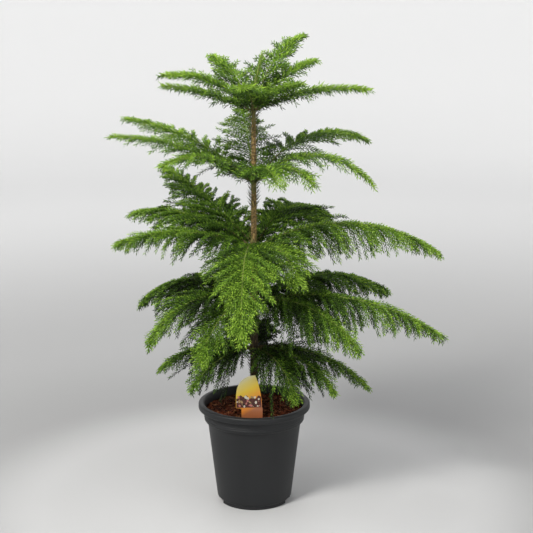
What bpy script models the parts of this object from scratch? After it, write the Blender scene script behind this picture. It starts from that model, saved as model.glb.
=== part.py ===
"""A young Norfolk Island pine in a nursery pot.

Five whorls of boughs stand on one straight trunk.  Each bough is one tapering limb that
rises, arches over and droops at its tip, and carries a flat frond of branchlets in two ranks.
Units are metres, +Z is up, and the origin is the middle of the pot's underside.
"""

import math
import random
from collections import namedtuple

import bmesh
import bpy
from mathutils import Vector
from mathutils.bvhtree import BVHTree

# ---------------------------------------------------------------- driving dimensions

CLEARANCE = 0.0003          # gap between neighbouring pieces
SEED = 41

POT_HEIGHT = 0.220
RIM_RADIUS = 0.120
LIP_HEIGHT = 0.014          # rolled lip at the mouth
LIP_ROUND = 0.003
COLLAR_RADIUS = 0.1075
COLLAR_FOOT = 0.182         # height where the collar steps in to the body
BODY_TOP_RADIUS = 0.1005
BODY_FOOT_RADIUS = 0.0805
FOOT_RADIUS = 0.0775
FOOT_HEIGHT = 0.010
STEP_HEIGHT = 0.002         # height of the sloping steps at the collar and the foot
WALL = 0.0022
FLOOR = 0.004
POT_STEPS = 32
DRAIN_TURN = 17.0           # degrees from the X axis to each of the four drains
DRAIN_WIDTH = 0.036
DRAIN_HEIGHT = 0.0075
DRAIN_REACH = 0.010         # how far each drain runs in from the foot's edge

SOIL_TOP = 0.205
SOIL_EDGE = 0.201           # the soil sinks a little towards the wall
SOIL_FLAT_RADIUS = 0.040
SOIL_SHOULDER = (0.012, 0.001)      # from the wall, and below the top, where the soil starts to sink

LABEL_AT = (-0.004, -0.078)         # x and y of the middle of the label's stake
LABEL_TURN = math.radians(4)
LABEL_LEAN = math.radians(7)
LABEL_HEIGHT = 0.094        # head and stake above the soil
LABEL_STAKE_WIDTH = 0.044
LABEL_STAKE_HEIGHT = 0.024
LABEL_DEPTH = 0.030         # how far the stake goes into the soil
LABEL_THICKNESS = 0.0012
LABEL_ARC_STEPS = 9
LABEL_POINT = 0.0075        # how far the head's point stands to the right of the stake's middle
LABEL_RIGHT = 0.0135        # from the point across to the head's right foot
LABEL_LEFT = 0.041          # from the point across to the head's left foot
LABEL_RIGHT_POWER = 2.0     # how late each side turns in to the point
LABEL_LEFT_POWER = 4.0
LABEL_SHOULDER = 0.0015     # rise of the head's foot from the stake to its sides

TRUNK_TOP = 0.868
TRUNK_SIDES_RESOLUTION = 2  # bevel resolution, eight sides
FLARE_RADIUS = 0.0135
FLARE_HEIGHT = 0.022
FLARE_STEPS = (0.0, 0.3, 0.65, 1.0)
TRUNK_FOOT_RADIUS = 0.0092
TRUNK_TOP_RADIUS = 0.0040
WHORL_SWELLING = 0.0012     # the trunk is thicker where boughs leave it
WHORL_SWELLING_REACH = 0.014

LEADER_HEIGHT = 0.094
LEADER_LEAN = 0.018         # how far the leader's tip stands to +X
LEADER_RADIUS = 0.0040
LEADER_SECTIONS = (0.0, 0.35, 0.7)          # shares of its height
LEADER_NARROWING = 0.45     # how much thinner the leader would be at its tip
LEADER_NEEDLES = 12
LEADER_NEEDLE_LENGTH = 0.017
NEEDLE_SPREAD = (0.12, 0.90)                # where on the leader the first and last needles stand
NEEDLE_ROOT_HALF_WIDTH = 0.0011
NEEDLE_HALF_WIDTH = 0.0021
NEEDLE_THICKNESS = 0.0016
GOLDEN_TURN = math.radians(137.5)

BOUGH_TIP_RADIUS = 0.0016
LIMB_ROOT_SWELLING = 1.08   # a bare limb's foot against its whorl's bough radius
STEM_FULLNESS = 1.2         # a three-sided stem's corners stand out this much further than a round limb
TRIANGLE_HALF_SIDE = 0.87   # of a triangle whose corners are one radius from its middle
TRIANGLE_HEIGHT = 1.5
STEEP = 0.3                 # a bough that rises more steeply than this takes its sides from its azimuth
AXIS_SAMPLES = 48
STEM_STEPS = (0.0, 0.15, 0.35, 0.6, 0.85)   # sections of a frond's stem, as shares of its length

BRANCHLET_ANGLE_BASE = math.radians(62)     # between a branchlet and its bough, at the base
BRANCHLET_ANGLE_TIP = math.radians(34)
FIRST_BRANCHLET = 0.022     # from the frond's start to its first branchlet
BRANCHLET_STEPS = 4         # straight runs in a branchlet
FULLEST = 0.25              # share of the frond at which the branchlets are longest
SHARE_AT_BASE = 0.60        # the first branchlet against the longest
SHARE_LOST_AT_TIP = 0.84
TAPER_BEND = 1.15
ANGLE_SPREAD = 0.07         # how far the angles vary, in radians
LENGTH_SPREAD = (0.9, 1.08)
HANG_SPREAD = (0.8, 1.2)
BLADE_THICKNESS = 0.0030
BLADE_ROOT = (0.40, 0.5)    # a blade's half width and height at its root, as shares of the stem's radius
# a blade's sections: place along it, shares of its half width and thickness, forward shift of its edges
ONE_TOOTH = ((0.52, 1.0, 1.0, 0.06), (0.62, 0.55, 0.9, 0.0))
TWO_TEETH = ((0.42, 1.0, 1.0, 0.05), (0.50, 0.50, 1.0, 0.0), (0.74, 0.82, 0.8, -0.05))
SHORT_BLADE_WIDTH = 0.7     # how wide a blade of no length would be, as a share of a full one
BLADE_TEST_MARGIN = 0.0012  # extra size of a blade when it is tried against its neighbours
SHORTER = (1.0, 0.8, 0.6, 0.42)     # lengths tried for a branchlet before it is skipped
SECTOR_SLACK = math.radians(9)
SECTOR_LIMIT = math.radians(42)
SECTOR_FREE_RADIUS = 0.045  # inside this distance from the trunk the sectors don't bind

# A bough's azimuth and slopes are in degrees.  Azimuth 0 is +X and 90 is +Y.  Its slope turns
# from rise at the trunk to droop at the tip, and its heading turns by sweep.  Hang is how
# strongly its branchlets bend down.
Bough = namedtuple("Bough", "azimuth length rise droop sweep hang")

# Whorl 1 is the highest.  Radius is a bough's at the trunk, bend is the power by which its slope
# turns along its length, bare is the length of the limb before the frond, and branchlet is the
# longest branchlet.
Whorl = namedtuple("Whorl", "height radius bend bare branchlet blades teeth blade_width boughs")

WHORLS = (
    Whorl(0.848, 0.0019, 0.7, 0.0, 0.054, 10, 1, 0.0105, (
        Bough(120, 0.210, 62, 8, 0, 0.5),
        Bough(160, 0.222, 60, -10, 0, 0.4),
        Bough(206, 0.207, 33, 6, 0, 0.4),
        Bough(262, 0.145, 62, 0, 0, 0.3),
        Bough(318, 0.150, 56, 6, 0, 0.3),
        Bough(353, 0.242, 39, -8, 0, 0.4),
        Bough(42, 0.202, 66, 4, 0, 0.5),
        Bough(60, 0.270, 75, 6, 0, 0.3),
    )),
    Whorl(0.702, 0.0022, 0.9, 0.0, 0.078, 11, 1, 0.0125, (
        Bough(98, 0.250, 46, 20, 0, 0.5),
        Bough(148, 0.352, 37, 2, 0, 0.5),
        Bough(168, 0.320, 36, -2, 0, 0.5),
        Bough(217, 0.238, 50, -18, 0, 0.6),
        Bough(286, 0.194, 50, -32, 0, 0.6),
        Bough(318, 0.176, 52, -40, 0, 0.7),
        Bough(352, 0.276, 56, -50, 0, 0.7),
        Bough(38, 0.344, 54, -28, 0, 0.6),
    )),
    Whorl(0.564, 0.0028, 1.0, 0.036, 0.098, 13, 2, 0.0140, (
        Bough(135, 0.314, 34, 18, 0, 0.7),
        Bough(160, 0.286, 37, -14, 0, 0.9),
        Bough(197, 0.292, 26, -16, 0, 0.7),
        Bough(261, 0.328, 22, -78, 10, 0.6),
        Bough(303, 0.180, 25, -58, 0, 0.6),
        Bough(357, 0.404, 32, -35, 0, 1.8),
        Bough(57, 0.312, 50, -48, 0, 1.0),
    )),
    Whorl(0.445, 0.0030, 1.0, 0.036, 0.098, 13, 2, 0.0140, (
        Bough(153, 0.298, 33, -48, 0, 1.2),
        Bough(205, 0.264, 30, -62, 0, 0.7),
        Bough(240, 0.248, 20, -64, 0, 0.8),
        Bough(325, 0.280, 20, -48, 0, 1.9),
        Bough(342, 0.408, 18, -30, 0, 1.9),
        Bough(25, 0.338, 31, -36, 0, 1.5),
        Bough(98, 0.320, 36, -35, 0, 1.0),
    )),
    Whorl(0.340, 0.0029, 1.0, 0.032, 0.080, 10, 1, 0.0125, (
        Bough(172, 0.215, 10, -42, 0, 1.0),
        Bough(210, 0.170, 4, -58, 0, 0.9),
        Bough(333, 0.205, 10, -54, 0, 1.2),
        Bough(352, 0.262, 8, -46, 0, 1.2),
        Bough(308, 0.178, 14, -74, 0, 0.9),
        Bough(95, 0.248, 25, -40, 0, 1.0),
    )),
)
HANGING_FROND = (5, 2)      # the short bough that droops straight from the trunk, with no bare limb

DOWN = Vector((0.0, 0.0, -1.0))
UP = Vector((0.0, 0.0, 1.0))

# ---------------------------------------------------------------- scene and materials

for old in list(bpy.data.objects):
    bpy.data.objects.remove(old, do_unlink=True)

plant = bpy.data.collections.new("norfolk_island_pine")
cutters = bpy.data.collections.new("cutters")
bpy.context.scene.collection.children.link(plant)
bpy.context.scene.collection.children.link(cutters)


def principled(name, color, roughness):
    """Returns a plain Principled material."""
    material = bpy.data.materials.new(name)
    material.use_nodes = True
    shader = material.node_tree.nodes["Principled BSDF"]
    shader.inputs["Base Color"].default_value = (*color, 1.0)
    shader.inputs["Roughness"].default_value = roughness
    shader.inputs["Metallic"].default_value = 0.0
    material.diffuse_color = (*color, 1.0)
    return material


POT_PLASTIC = principled("pot_plastic", (0.022, 0.024, 0.027), 0.45)
POTTING_MIX = principled("potting_mix", (0.085, 0.030, 0.016), 0.95)
LABEL_CARD = principled("label_card", (0.85, 0.38, 0.06), 0.40)
TRUNK_BARK = principled("trunk_bark", (0.30, 0.15, 0.06), 0.85)
BOUGH_BARK = principled("bough_bark", (0.20, 0.20, 0.06), 0.80)
LEADER_GREEN = principled("leader_green", (0.10, 0.26, 0.03), 0.60)
WHORL_GREENS = (
    principled("whorl_1_green", (0.075, 0.21, 0.025), 0.60),
    principled("whorl_2_green", (0.070, 0.19, 0.030), 0.60),
    principled("whorl_3_green", (0.060, 0.20, 0.025), 0.60),
    principled("whorl_4_green", (0.055, 0.17, 0.030), 0.60),
    principled("whorl_5_green", (0.045, 0.14, 0.030), 0.60),
)


# ---------------------------------------------------------------- helpers

def new_object(name, mesh, collection):
    thing = bpy.data.objects.new(name, mesh)
    collection.objects.link(thing)
    return thing


def mesh_from(bm, name):
    """Writes a bmesh into a new mesh and frees it."""
    mesh = bpy.data.meshes.new(name)
    bm.to_mesh(mesh)
    bm.free()
    return mesh


def set_material(thing, material):
    thing.data.materials.clear()
    thing.data.materials.append(material)


def apply_modifiers(thing):
    """Gives the object its evaluated mesh and clears its modifiers."""
    bpy.context.view_layer.update()
    evaluated = thing.evaluated_get(bpy.context.evaluated_depsgraph_get())
    mesh = bpy.data.meshes.new_from_object(evaluated)
    thing.modifiers.clear()
    thing.data = mesh


def turned(name, profile, steps, collection):
    """Turns a profile of (radius, height) points that runs down the outer side, top to bottom."""
    bm = bmesh.new()
    corners = [bm.verts.new((radius, 0.0, height)) for radius, height in profile]
    for above, below in zip(corners, corners[1:]):
        bm.edges.new((above, below))
    mesh = bpy.data.meshes.new(name)
    bm.to_mesh(mesh)
    bm.free()
    thing = new_object(name, mesh, collection)
    screw = thing.modifiers.new("turn", "SCREW")
    screw.axis = "Z"
    screw.angle = math.tau
    screw.steps = steps
    screw.render_steps = steps
    screw.use_merge_vertices = True
    screw.merge_threshold = 0.0001
    screw.use_smooth_shade = True
    return thing


def cut(thing, cutter):
    cutter.hide_render = True
    cutter.display_type = "WIRE"
    boolean = thing.modifiers.new("cut_" + cutter.name, "BOOLEAN")
    boolean.operation = "DIFFERENCE"
    boolean.solver = "EXACT"
    boolean.object = cutter


def tapered_limb(name, points, radii, resolution, collection):
    """A round limb through the points, as a welded mesh with closed ends."""
    curve = bpy.data.curves.new(name, "CURVE")
    curve.dimensions = "3D"
    curve.bevel_depth = 1.0
    curve.bevel_resolution = resolution
    curve.use_fill_caps = True
    spline = curve.splines.new("POLY")
    spline.points.add(len(points) - 1)
    for spline_point, point, radius in zip(spline.points, points, radii):
        spline_point.co = (*point, 1.0)
        spline_point.radius = radius
    guide = new_object(name + "_guide", curve, collection)
    bpy.context.view_layer.update()
    evaluated = guide.evaluated_get(bpy.context.evaluated_depsgraph_get())
    mesh = bpy.data.meshes.new_from_object(evaluated)
    mesh.name = name
    bpy.data.objects.remove(guide, do_unlink=True)
    bm = bmesh.new()
    bm.from_mesh(mesh)
    bmesh.ops.remove_doubles(bm, verts=bm.verts, dist=0.00001)
    bmesh.ops.recalc_face_normals(bm, faces=bm.faces)
    bm.to_mesh(mesh)
    bm.free()
    mesh.shade_smooth()
    mesh.set_sharp_from_angle(angle=math.radians(40))
    return new_object(name, mesh, collection)


def section(center, across, up, half_width, height, shift=0.0, along=None):
    """Three corners of a blade or twig: two edges and a ridge.

    The edges are shifted along the blade, one forward and one back, where shift is given.
    """
    offset = along * shift if along else Vector()
    left = center - across * half_width - up * (height / 3) + offset
    right = center + across * half_width - up * (height / 3) - offset
    return (left, right, center + up * (height * 2 / 3))


def loft(sections, tip):
    """A closed three-sided bmesh through the sections, ending in a point."""
    bm = bmesh.new()
    rings = [[bm.verts.new(corner) for corner in corners] for corners in sections]
    bm.faces.new(reversed(rings[0]))
    for lower, upper in zip(rings, rings[1:]):
        for i in range(3):
            j = (i + 1) % 3
            bm.faces.new((lower[i], lower[j], upper[j]))
            bm.faces.new((lower[i], upper[j], upper[i]))
    end = bm.verts.new(tip)
    for i in range(3):
        bm.faces.new((rings[-1][i], rings[-1][(i + 1) % 3], end))
    if bm.calc_volume(signed=True) < 0:
        bmesh.ops.reverse_faces(bm, faces=bm.faces)
    return bm


def union(name, core, pieces, material):
    """Fuses the pieces onto the core with one Boolean union and removes the pieces."""
    thing = new_object(name, mesh_from(core, name), plant)
    spray = bpy.data.collections.new(name + "_spray")
    bpy.context.scene.collection.children.link(spray)
    for number, piece in enumerate(pieces):
        new_object(f"{name}_piece_{number}", mesh_from(piece, f"{name}_piece_{number}"), spray)
    boolean = thing.modifiers.new("fuse", "BOOLEAN")
    boolean.operation = "UNION"
    boolean.solver = "MANIFOLD"
    boolean.operand_type = "COLLECTION"
    boolean.collection = spray
    apply_modifiers(thing)
    for piece in list(spray.objects):
        bpy.data.objects.remove(piece, do_unlink=True)
    bpy.data.collections.remove(spray)
    set_material(thing, material)
    return thing


def obstacle(thing):
    """The surface of a finished piece, for testing what may not touch it."""
    bpy.context.view_layer.update()
    evaluated = thing.evaluated_get(bpy.context.evaluated_depsgraph_get())
    return BVHTree.FromObject(evaluated, bpy.context.evaluated_depsgraph_get())


# ---------------------------------------------------------------- pot, soil and label

def make_pot():
    """A tapered nursery pot with a rolled lip, a collar and two drains at either side of its foot."""
    lip_foot = POT_HEIGHT - LIP_HEIGHT
    profile = (
        (0.0, FLOOR),
        (FOOT_RADIUS - WALL, FLOOR),
        (FOOT_RADIUS - WALL, FOOT_HEIGHT),
        (BODY_FOOT_RADIUS - WALL, FOOT_HEIGHT + STEP_HEIGHT),
        (BODY_TOP_RADIUS - WALL, COLLAR_FOOT - STEP_HEIGHT),
        (COLLAR_RADIUS - WALL, COLLAR_FOOT + STEP_HEIGHT),
        (COLLAR_RADIUS - WALL, POT_HEIGHT - LIP_ROUND),
        (COLLAR_RADIUS + LIP_ROUND, POT_HEIGHT),
        (RIM_RADIUS - LIP_ROUND, POT_HEIGHT),
        (RIM_RADIUS, POT_HEIGHT - LIP_ROUND),
        (RIM_RADIUS, lip_foot),
        (COLLAR_RADIUS, lip_foot - STEP_HEIGHT / 2),
        (COLLAR_RADIUS, COLLAR_FOOT),
        (BODY_TOP_RADIUS, COLLAR_FOOT - STEP_HEIGHT),
        (BODY_FOOT_RADIUS, FOOT_HEIGHT),
        (FOOT_RADIUS, FOOT_HEIGHT - STEP_HEIGHT),
        (FOOT_RADIUS, 0.0),
        (0.0, 0.0),
    )
    pot = turned("pot", profile, POT_STEPS, plant)
    for number, degrees in enumerate((DRAIN_TURN, 180 - DRAIN_TURN, 180 + DRAIN_TURN, -DRAIN_TURN), start=1):
        bpy.ops.mesh.primitive_cube_add(size=1.0)
        drain = bpy.context.object
        drain.name = f"drain_{number}"
        drain.scale = (2 * DRAIN_REACH, DRAIN_WIDTH, 2 * DRAIN_HEIGHT)
        turn = math.radians(degrees)
        drain.location = (FOOT_RADIUS * math.cos(turn), FOOT_RADIUS * math.sin(turn), 0.0)
        drain.rotation_euler = (0.0, 0.0, turn)
        for owner in list(drain.users_collection):
            owner.objects.unlink(drain)
        cutters.objects.link(drain)
        cut(pot, drain)
    set_material(pot, POT_PLASTIC)
    return pot


def make_soil():
    """Potting mix that fills the pot, with a slot for the label's stake."""
    foot = FOOT_RADIUS - WALL - CLEARANCE
    lower = BODY_FOOT_RADIUS - WALL - CLEARANCE
    upper = BODY_TOP_RADIUS - WALL - CLEARANCE
    collar = COLLAR_RADIUS - WALL - CLEARANCE
    profile = (
        (0.0, SOIL_TOP),
        (SOIL_FLAT_RADIUS, SOIL_TOP),
        (collar - SOIL_SHOULDER[0], SOIL_TOP - SOIL_SHOULDER[1]),
        (collar, SOIL_EDGE),
        (collar, COLLAR_FOOT + STEP_HEIGHT + CLEARANCE),
        (upper, COLLAR_FOOT - STEP_HEIGHT + CLEARANCE),
        (lower, FOOT_HEIGHT + STEP_HEIGHT + CLEARANCE),
        (foot, FOOT_HEIGHT + CLEARANCE),
        (foot, FLOOR + CLEARANCE),
        (0.0, FLOOR + CLEARANCE),
    )
    soil = turned("soil", profile, POT_STEPS, plant)
    slot_half_height = LABEL_DEPTH + CLEARANCE
    bpy.ops.mesh.primitive_cube_add(size=1.0)
    slot = bpy.context.object
    slot.name = "label_slot"
    slot.scale = (LABEL_STAKE_WIDTH + 2 * CLEARANCE, LABEL_THICKNESS + 2 * CLEARANCE, 2 * slot_half_height)
    slot.location = (*LABEL_AT, SOIL_TOP)
    slot.rotation_euler = (-LABEL_LEAN, 0.0, LABEL_TURN)
    for owner in list(slot.users_collection):
        owner.objects.unlink(slot)
    cutters.objects.link(slot)
    cut(soil, slot)
    set_material(soil, POTTING_MIX)
    return soil


def label_outline():
    """The label's outline: a straight-sided stake under a leaf-shaped head with one point."""
    half_stake = LABEL_STAKE_WIDTH / 2
    outline = [(-half_stake, -LABEL_DEPTH), (half_stake, -LABEL_DEPTH), (half_stake, LABEL_STAKE_HEIGHT)]
    head_height = LABEL_HEIGHT - LABEL_STAKE_HEIGHT
    shares = [math.sin(math.pi / 2 * step / LABEL_ARC_STEPS) for step in range(LABEL_ARC_STEPS + 1)]
    for share in shares:
        outline.append((LABEL_POINT + LABEL_RIGHT * (1 - share ** LABEL_RIGHT_POWER),
                        LABEL_STAKE_HEIGHT + LABEL_SHOULDER + (head_height - LABEL_SHOULDER) * share))
    for share in reversed(shares[:-1]):
        outline.append((LABEL_POINT - LABEL_LEFT * math.sqrt(1 - share ** LABEL_LEFT_POWER),
                        LABEL_STAKE_HEIGHT + LABEL_SHOULDER + (head_height - LABEL_SHOULDER) * share))
    outline.append((-half_stake, LABEL_STAKE_HEIGHT))
    return outline


def make_label():
    """A plastic plant label: its stake stands in the soil's slot."""
    curve = bpy.data.curves.new("label", "CURVE")
    curve.dimensions = "2D"
    curve.fill_mode = "BOTH"
    curve.extrude = LABEL_THICKNESS / 2
    outline = label_outline()
    spline = curve.splines.new("POLY")
    spline.points.add(len(outline) - 1)
    for spline_point, corner in zip(spline.points, outline):
        spline_point.co = (*corner, 0.0, 1.0)
    spline.use_cyclic_u = True
    guide = new_object("label_guide", curve, plant)
    bpy.context.view_layer.update()
    evaluated = guide.evaluated_get(bpy.context.evaluated_depsgraph_get())
    mesh = bpy.data.meshes.new_from_object(evaluated)
    bpy.data.objects.remove(guide, do_unlink=True)
    bm = bmesh.new()
    bm.from_mesh(mesh)
    bmesh.ops.remove_doubles(bm, verts=bm.verts, dist=0.00001)
    bmesh.ops.recalc_face_normals(bm, faces=bm.faces)
    bm.to_mesh(mesh)
    bm.free()
    label = new_object("label", mesh, plant)
    label.location = (*LABEL_AT, SOIL_TOP)
    label.rotation_euler = (math.radians(90) - LABEL_LEAN, 0.0, LABEL_TURN)
    set_material(label, LABEL_CARD)
    return label


# ---------------------------------------------------------------- trunk and leader

def trunk_radius(height):
    """The trunk's radius: an even taper, a flare at the soil and a swelling at each whorl."""
    share = (height - SOIL_TOP) / (TRUNK_TOP - SOIL_TOP)
    radius = TRUNK_FOOT_RADIUS + (TRUNK_TOP_RADIUS - TRUNK_FOOT_RADIUS) * share
    flare = max(0.0, 1 - (height - SOIL_TOP) / FLARE_HEIGHT)
    radius += (FLARE_RADIUS - TRUNK_FOOT_RADIUS) * flare ** 2
    for whorl in WHORLS:
        near = max(0.0, 1 - abs(height - whorl.height) / WHORL_SWELLING_REACH)
        radius += WHORL_SWELLING * near
    return radius


def make_trunk():
    foot = SOIL_TOP + CLEARANCE
    heights = {foot + FLARE_HEIGHT * step for step in FLARE_STEPS} | {TRUNK_TOP}
    for whorl in WHORLS:
        for step in (-1, 0, 1):
            heights.add(whorl.height + step * WHORL_SWELLING_REACH)
    heights = sorted(height for height in heights if height <= TRUNK_TOP)
    points = [(0.0, 0.0, height) for height in heights]
    radii = [trunk_radius(height) for height in heights]
    trunk = tapered_limb("trunk", points, radii, TRUNK_SIDES_RESOLUTION, plant)
    set_material(trunk, TRUNK_BARK)
    return trunk


def leader_point(foot, share):
    """The middle of the leader at a share of its height: it leans more towards its tip."""
    return foot + Vector((LEADER_LEAN * share ** 1.5, 0.0, LEADER_HEIGHT * share))


def make_leader():
    """The green top shoot: a slim core with needles standing out of it in a spiral."""
    rng = random.Random(SEED)
    foot = Vector((0.0, 0.0, TRUNK_TOP + CLEARANCE))
    tip = foot + Vector((LEADER_LEAN, 0.0, LEADER_HEIGHT))
    across = Vector((1.0, 0.0, 0.0))
    back = Vector((0.0, 1.0, 0.0))
    sections = []
    for share in LEADER_SECTIONS:
        center = leader_point(foot, share)
        radius = LEADER_RADIUS * (1 - LEADER_NARROWING * share)
        sections.append(section(center, across, back, TRIANGLE_HALF_SIDE * radius, TRIANGLE_HEIGHT * radius))
    core = loft(sections, tip)
    needles = []
    for number in range(LEADER_NEEDLES):
        first, last = NEEDLE_SPREAD
        share = first + (last - first) * number / (LEADER_NEEDLES - 1)
        turn = GOLDEN_TURN * number
        out = Vector((math.cos(turn), math.sin(turn), 0.0))
        center = leader_point(foot, share)
        direction = (out + UP * rng.uniform(0.9, 1.4)).normalized()
        side = direction.cross(out).normalized()
        length = LEADER_NEEDLE_LENGTH * (1.1 - 0.4 * share)
        rise = side.cross(direction).normalized()
        middle = center + direction * length / 2
        needles.append(loft([section(center, side, rise, NEEDLE_ROOT_HALF_WIDTH, NEEDLE_THICKNESS),
                             section(middle, side, rise, NEEDLE_HALF_WIDTH, NEEDLE_THICKNESS)],
                            center + direction * length))
    return union("leader", core, needles, LEADER_GREEN)


# ---------------------------------------------------------------- boughs and fronds

def root_direction(whorl, bough):
    """The level direction in which a bough leaves the trunk: its whorl's roots are evenly spread."""
    order = sorted(whorl.boughs, key=lambda other: other.azimuth)
    spacing = 360 / len(order)
    offset = sum(other.azimuth - spacing * place for place, other in enumerate(order)) / len(order)
    turn = math.radians(offset + spacing * order.index(bough))
    return Vector((math.cos(turn), math.sin(turn), 0.0))


def bough_axis(whorl, bough):
    """Points along the middle of a bough, evenly spaced from the trunk's surface to its tip."""
    root = root_direction(whorl, bough)
    step = bough.length / AXIS_SAMPLES
    points = [root * (trunk_radius(whorl.height) + CLEARANCE) + UP * whorl.height]
    points.append(points[0] + root * step)
    for number in range(1, AXIS_SAMPLES):
        share = (number + 0.5) / AXIS_SAMPLES
        slope = math.radians(bough.rise + (bough.droop - bough.rise) * share ** whorl.bend)
        heading = math.radians(bough.azimuth + bough.sweep * share)
        direction = Vector((math.cos(slope) * math.cos(heading),
                            math.cos(slope) * math.sin(heading),
                            math.sin(slope)))
        points.append(points[-1] + direction * step)
    return points


def at(axis, share):
    """The point and the forward direction at a share of the axis's length."""
    place = min(max(share, 0.0), 1.0) * (len(axis) - 1)
    number = min(int(place), len(axis) - 2)
    point = axis[number].lerp(axis[number + 1], place - number)
    return point, (axis[number + 1] - axis[number]).normalized()


def bough_radius(whorl, share):
    return whorl.radius + (BOUGH_TIP_RADIUS - whorl.radius) * share


def stem_radius(whorl, share):
    """The distance from the middle of a frond's three-sided stem to its corners."""
    return STEM_FULLNESS * bough_radius(whorl, share)


def limb_direction(axis, end):
    """The direction of the straight run that ends a bare limb."""
    return (at(axis, end)[0] - axis[1]).normalized()


def sideways(forward, bough):
    """The level direction to the left of a bough."""
    azimuth = math.radians(bough.azimuth)
    across = UP.cross(forward)
    if across.length < STEEP:
        across = Vector((-math.sin(azimuth), math.cos(azimuth), 0.0))
    return across.normalized()


def make_limb(name, whorl, axis, end):
    """The bare tapering limb between the trunk and the frond."""
    points = [axis[0], axis[1], at(axis, end)[0]]
    radii = [whorl.radius * LIMB_ROOT_SWELLING, whorl.radius, bough_radius(whorl, end)]
    limb = tapered_limb(name, points, radii, 1, plant)
    set_material(limb, BOUGH_BARK)
    return limb


def branchlet_share(share):
    """The length of a branchlet at a share of the frond, as a share of the longest."""
    if share < FULLEST:
        return SHARE_AT_BASE + (1 - SHARE_AT_BASE) * share / FULLEST
    return 1 - SHARE_LOST_AT_TIP * ((share - FULLEST) / (1 - FULLEST)) ** TAPER_BEND


def branchlet_path(root, forward, across, angle, length, hang):
    """Points along a branchlet, which leaves its bough at an angle and bends down."""
    start = forward * math.cos(angle) + across * math.sin(angle)
    points = [root]
    for step in range(BRANCHLET_STEPS):
        share = (step + 0.5) / BRANCHLET_STEPS
        direction = (start + DOWN * hang * share).normalized()
        points.append(points[-1] + direction * (length / BRANCHLET_STEPS))
    return points


def blade(path, forward, side, half_width, root_radius, teeth, margin=0.0):
    """A branchlet with its needles, as a blade with one or two teeth on each side and a point.

    Side is 1 on the bough's left and -1 on its right.  Root radius is that of the stem that the
    blade's root is sunk in.  Margin makes the blade larger all round.
    """
    def corners(place, width, height, shift):
        number = min(int(place * BRANCHLET_STEPS), BRANCHLET_STEPS - 1)
        center = path[number].lerp(path[number + 1], place * BRANCHLET_STEPS - number)
        along = (path[number + 1] - path[number]).normalized()
        across = (forward - along * forward.dot(along)).normalized()
        up = across.cross(along) * side
        length = (path[-1] - path[0]).length
        return section(center, across, up, width + margin, height + 2 * margin, shift * length, along)

    sections = [corners(0.0, BLADE_ROOT[0] * root_radius, BLADE_ROOT[1] * root_radius, 0.0)]
    for place, width, height, shift in (ONE_TOOTH if teeth == 1 else TWO_TEETH):
        sections.append(corners(place, half_width * width, BLADE_THICKNESS * height, shift))
    end = path[-1] + (path[-1] - path[-2]).normalized() * margin
    return loft(sections, end)


def turn_between(first, second):
    """The angle from the first azimuth to the second, in radians, between -pi and pi."""
    return (second - first + math.pi) % math.tau - math.pi


def sector_of(whorl, bough):
    """The angles on either side of a bough that its frond may fill."""
    own = math.radians(bough.azimuth)
    others = [turn_between(own, math.radians(other.azimuth)) for other in whorl.boughs if other is not bough]
    left = min(turn for turn in others if turn > 0) / 2 + SECTOR_SLACK
    right = -max(turn for turn in others if turn < 0) / 2 + SECTOR_SLACK
    return min(left, SECTOR_LIMIT), min(right, SECTOR_LIMIT)


def inside_sector(path, bough, sector):
    own = math.radians(bough.azimuth)
    for point in path[2:]:
        if math.hypot(point.x, point.y) < SECTOR_FREE_RADIUS:
            continue
        turn = turn_between(own, math.atan2(point.y, point.x))
        if turn > sector[0] or turn < -sector[1]:
            return False
    return True


def stem_shares(start):
    """Where the frond's stem has its sections, as shares of the bough."""
    return [start + (1 - start) * step for step in STEM_STEPS]


def on_stem(axis, start, place):
    """The point at a share of the bough on the straight runs between the stem's sections."""
    shares = stem_shares(start) + [1.0]
    for near, far in zip(shares, shares[1:]):
        if place <= far:
            break
    return at(axis, near)[0].lerp(at(axis, far)[0], (place - near) / (far - near))


def frond_stem(whorl, bough, axis, start):
    """The frond's part of the bough, three-sided, from its bare limb or the trunk to its tip."""
    sections = []
    for share in stem_shares(start):
        point, forward = at(axis, share)
        if share == start and start > 0.0:
            forward = limb_direction(axis, start)
        across = sideways(forward, bough)
        radius = stem_radius(whorl, share)
        sections.append(section(point, across, forward.cross(across),
                                TRIANGLE_HALF_SIDE * radius, TRIANGLE_HEIGHT * radius))
    return loft(sections, axis[-1])


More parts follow.
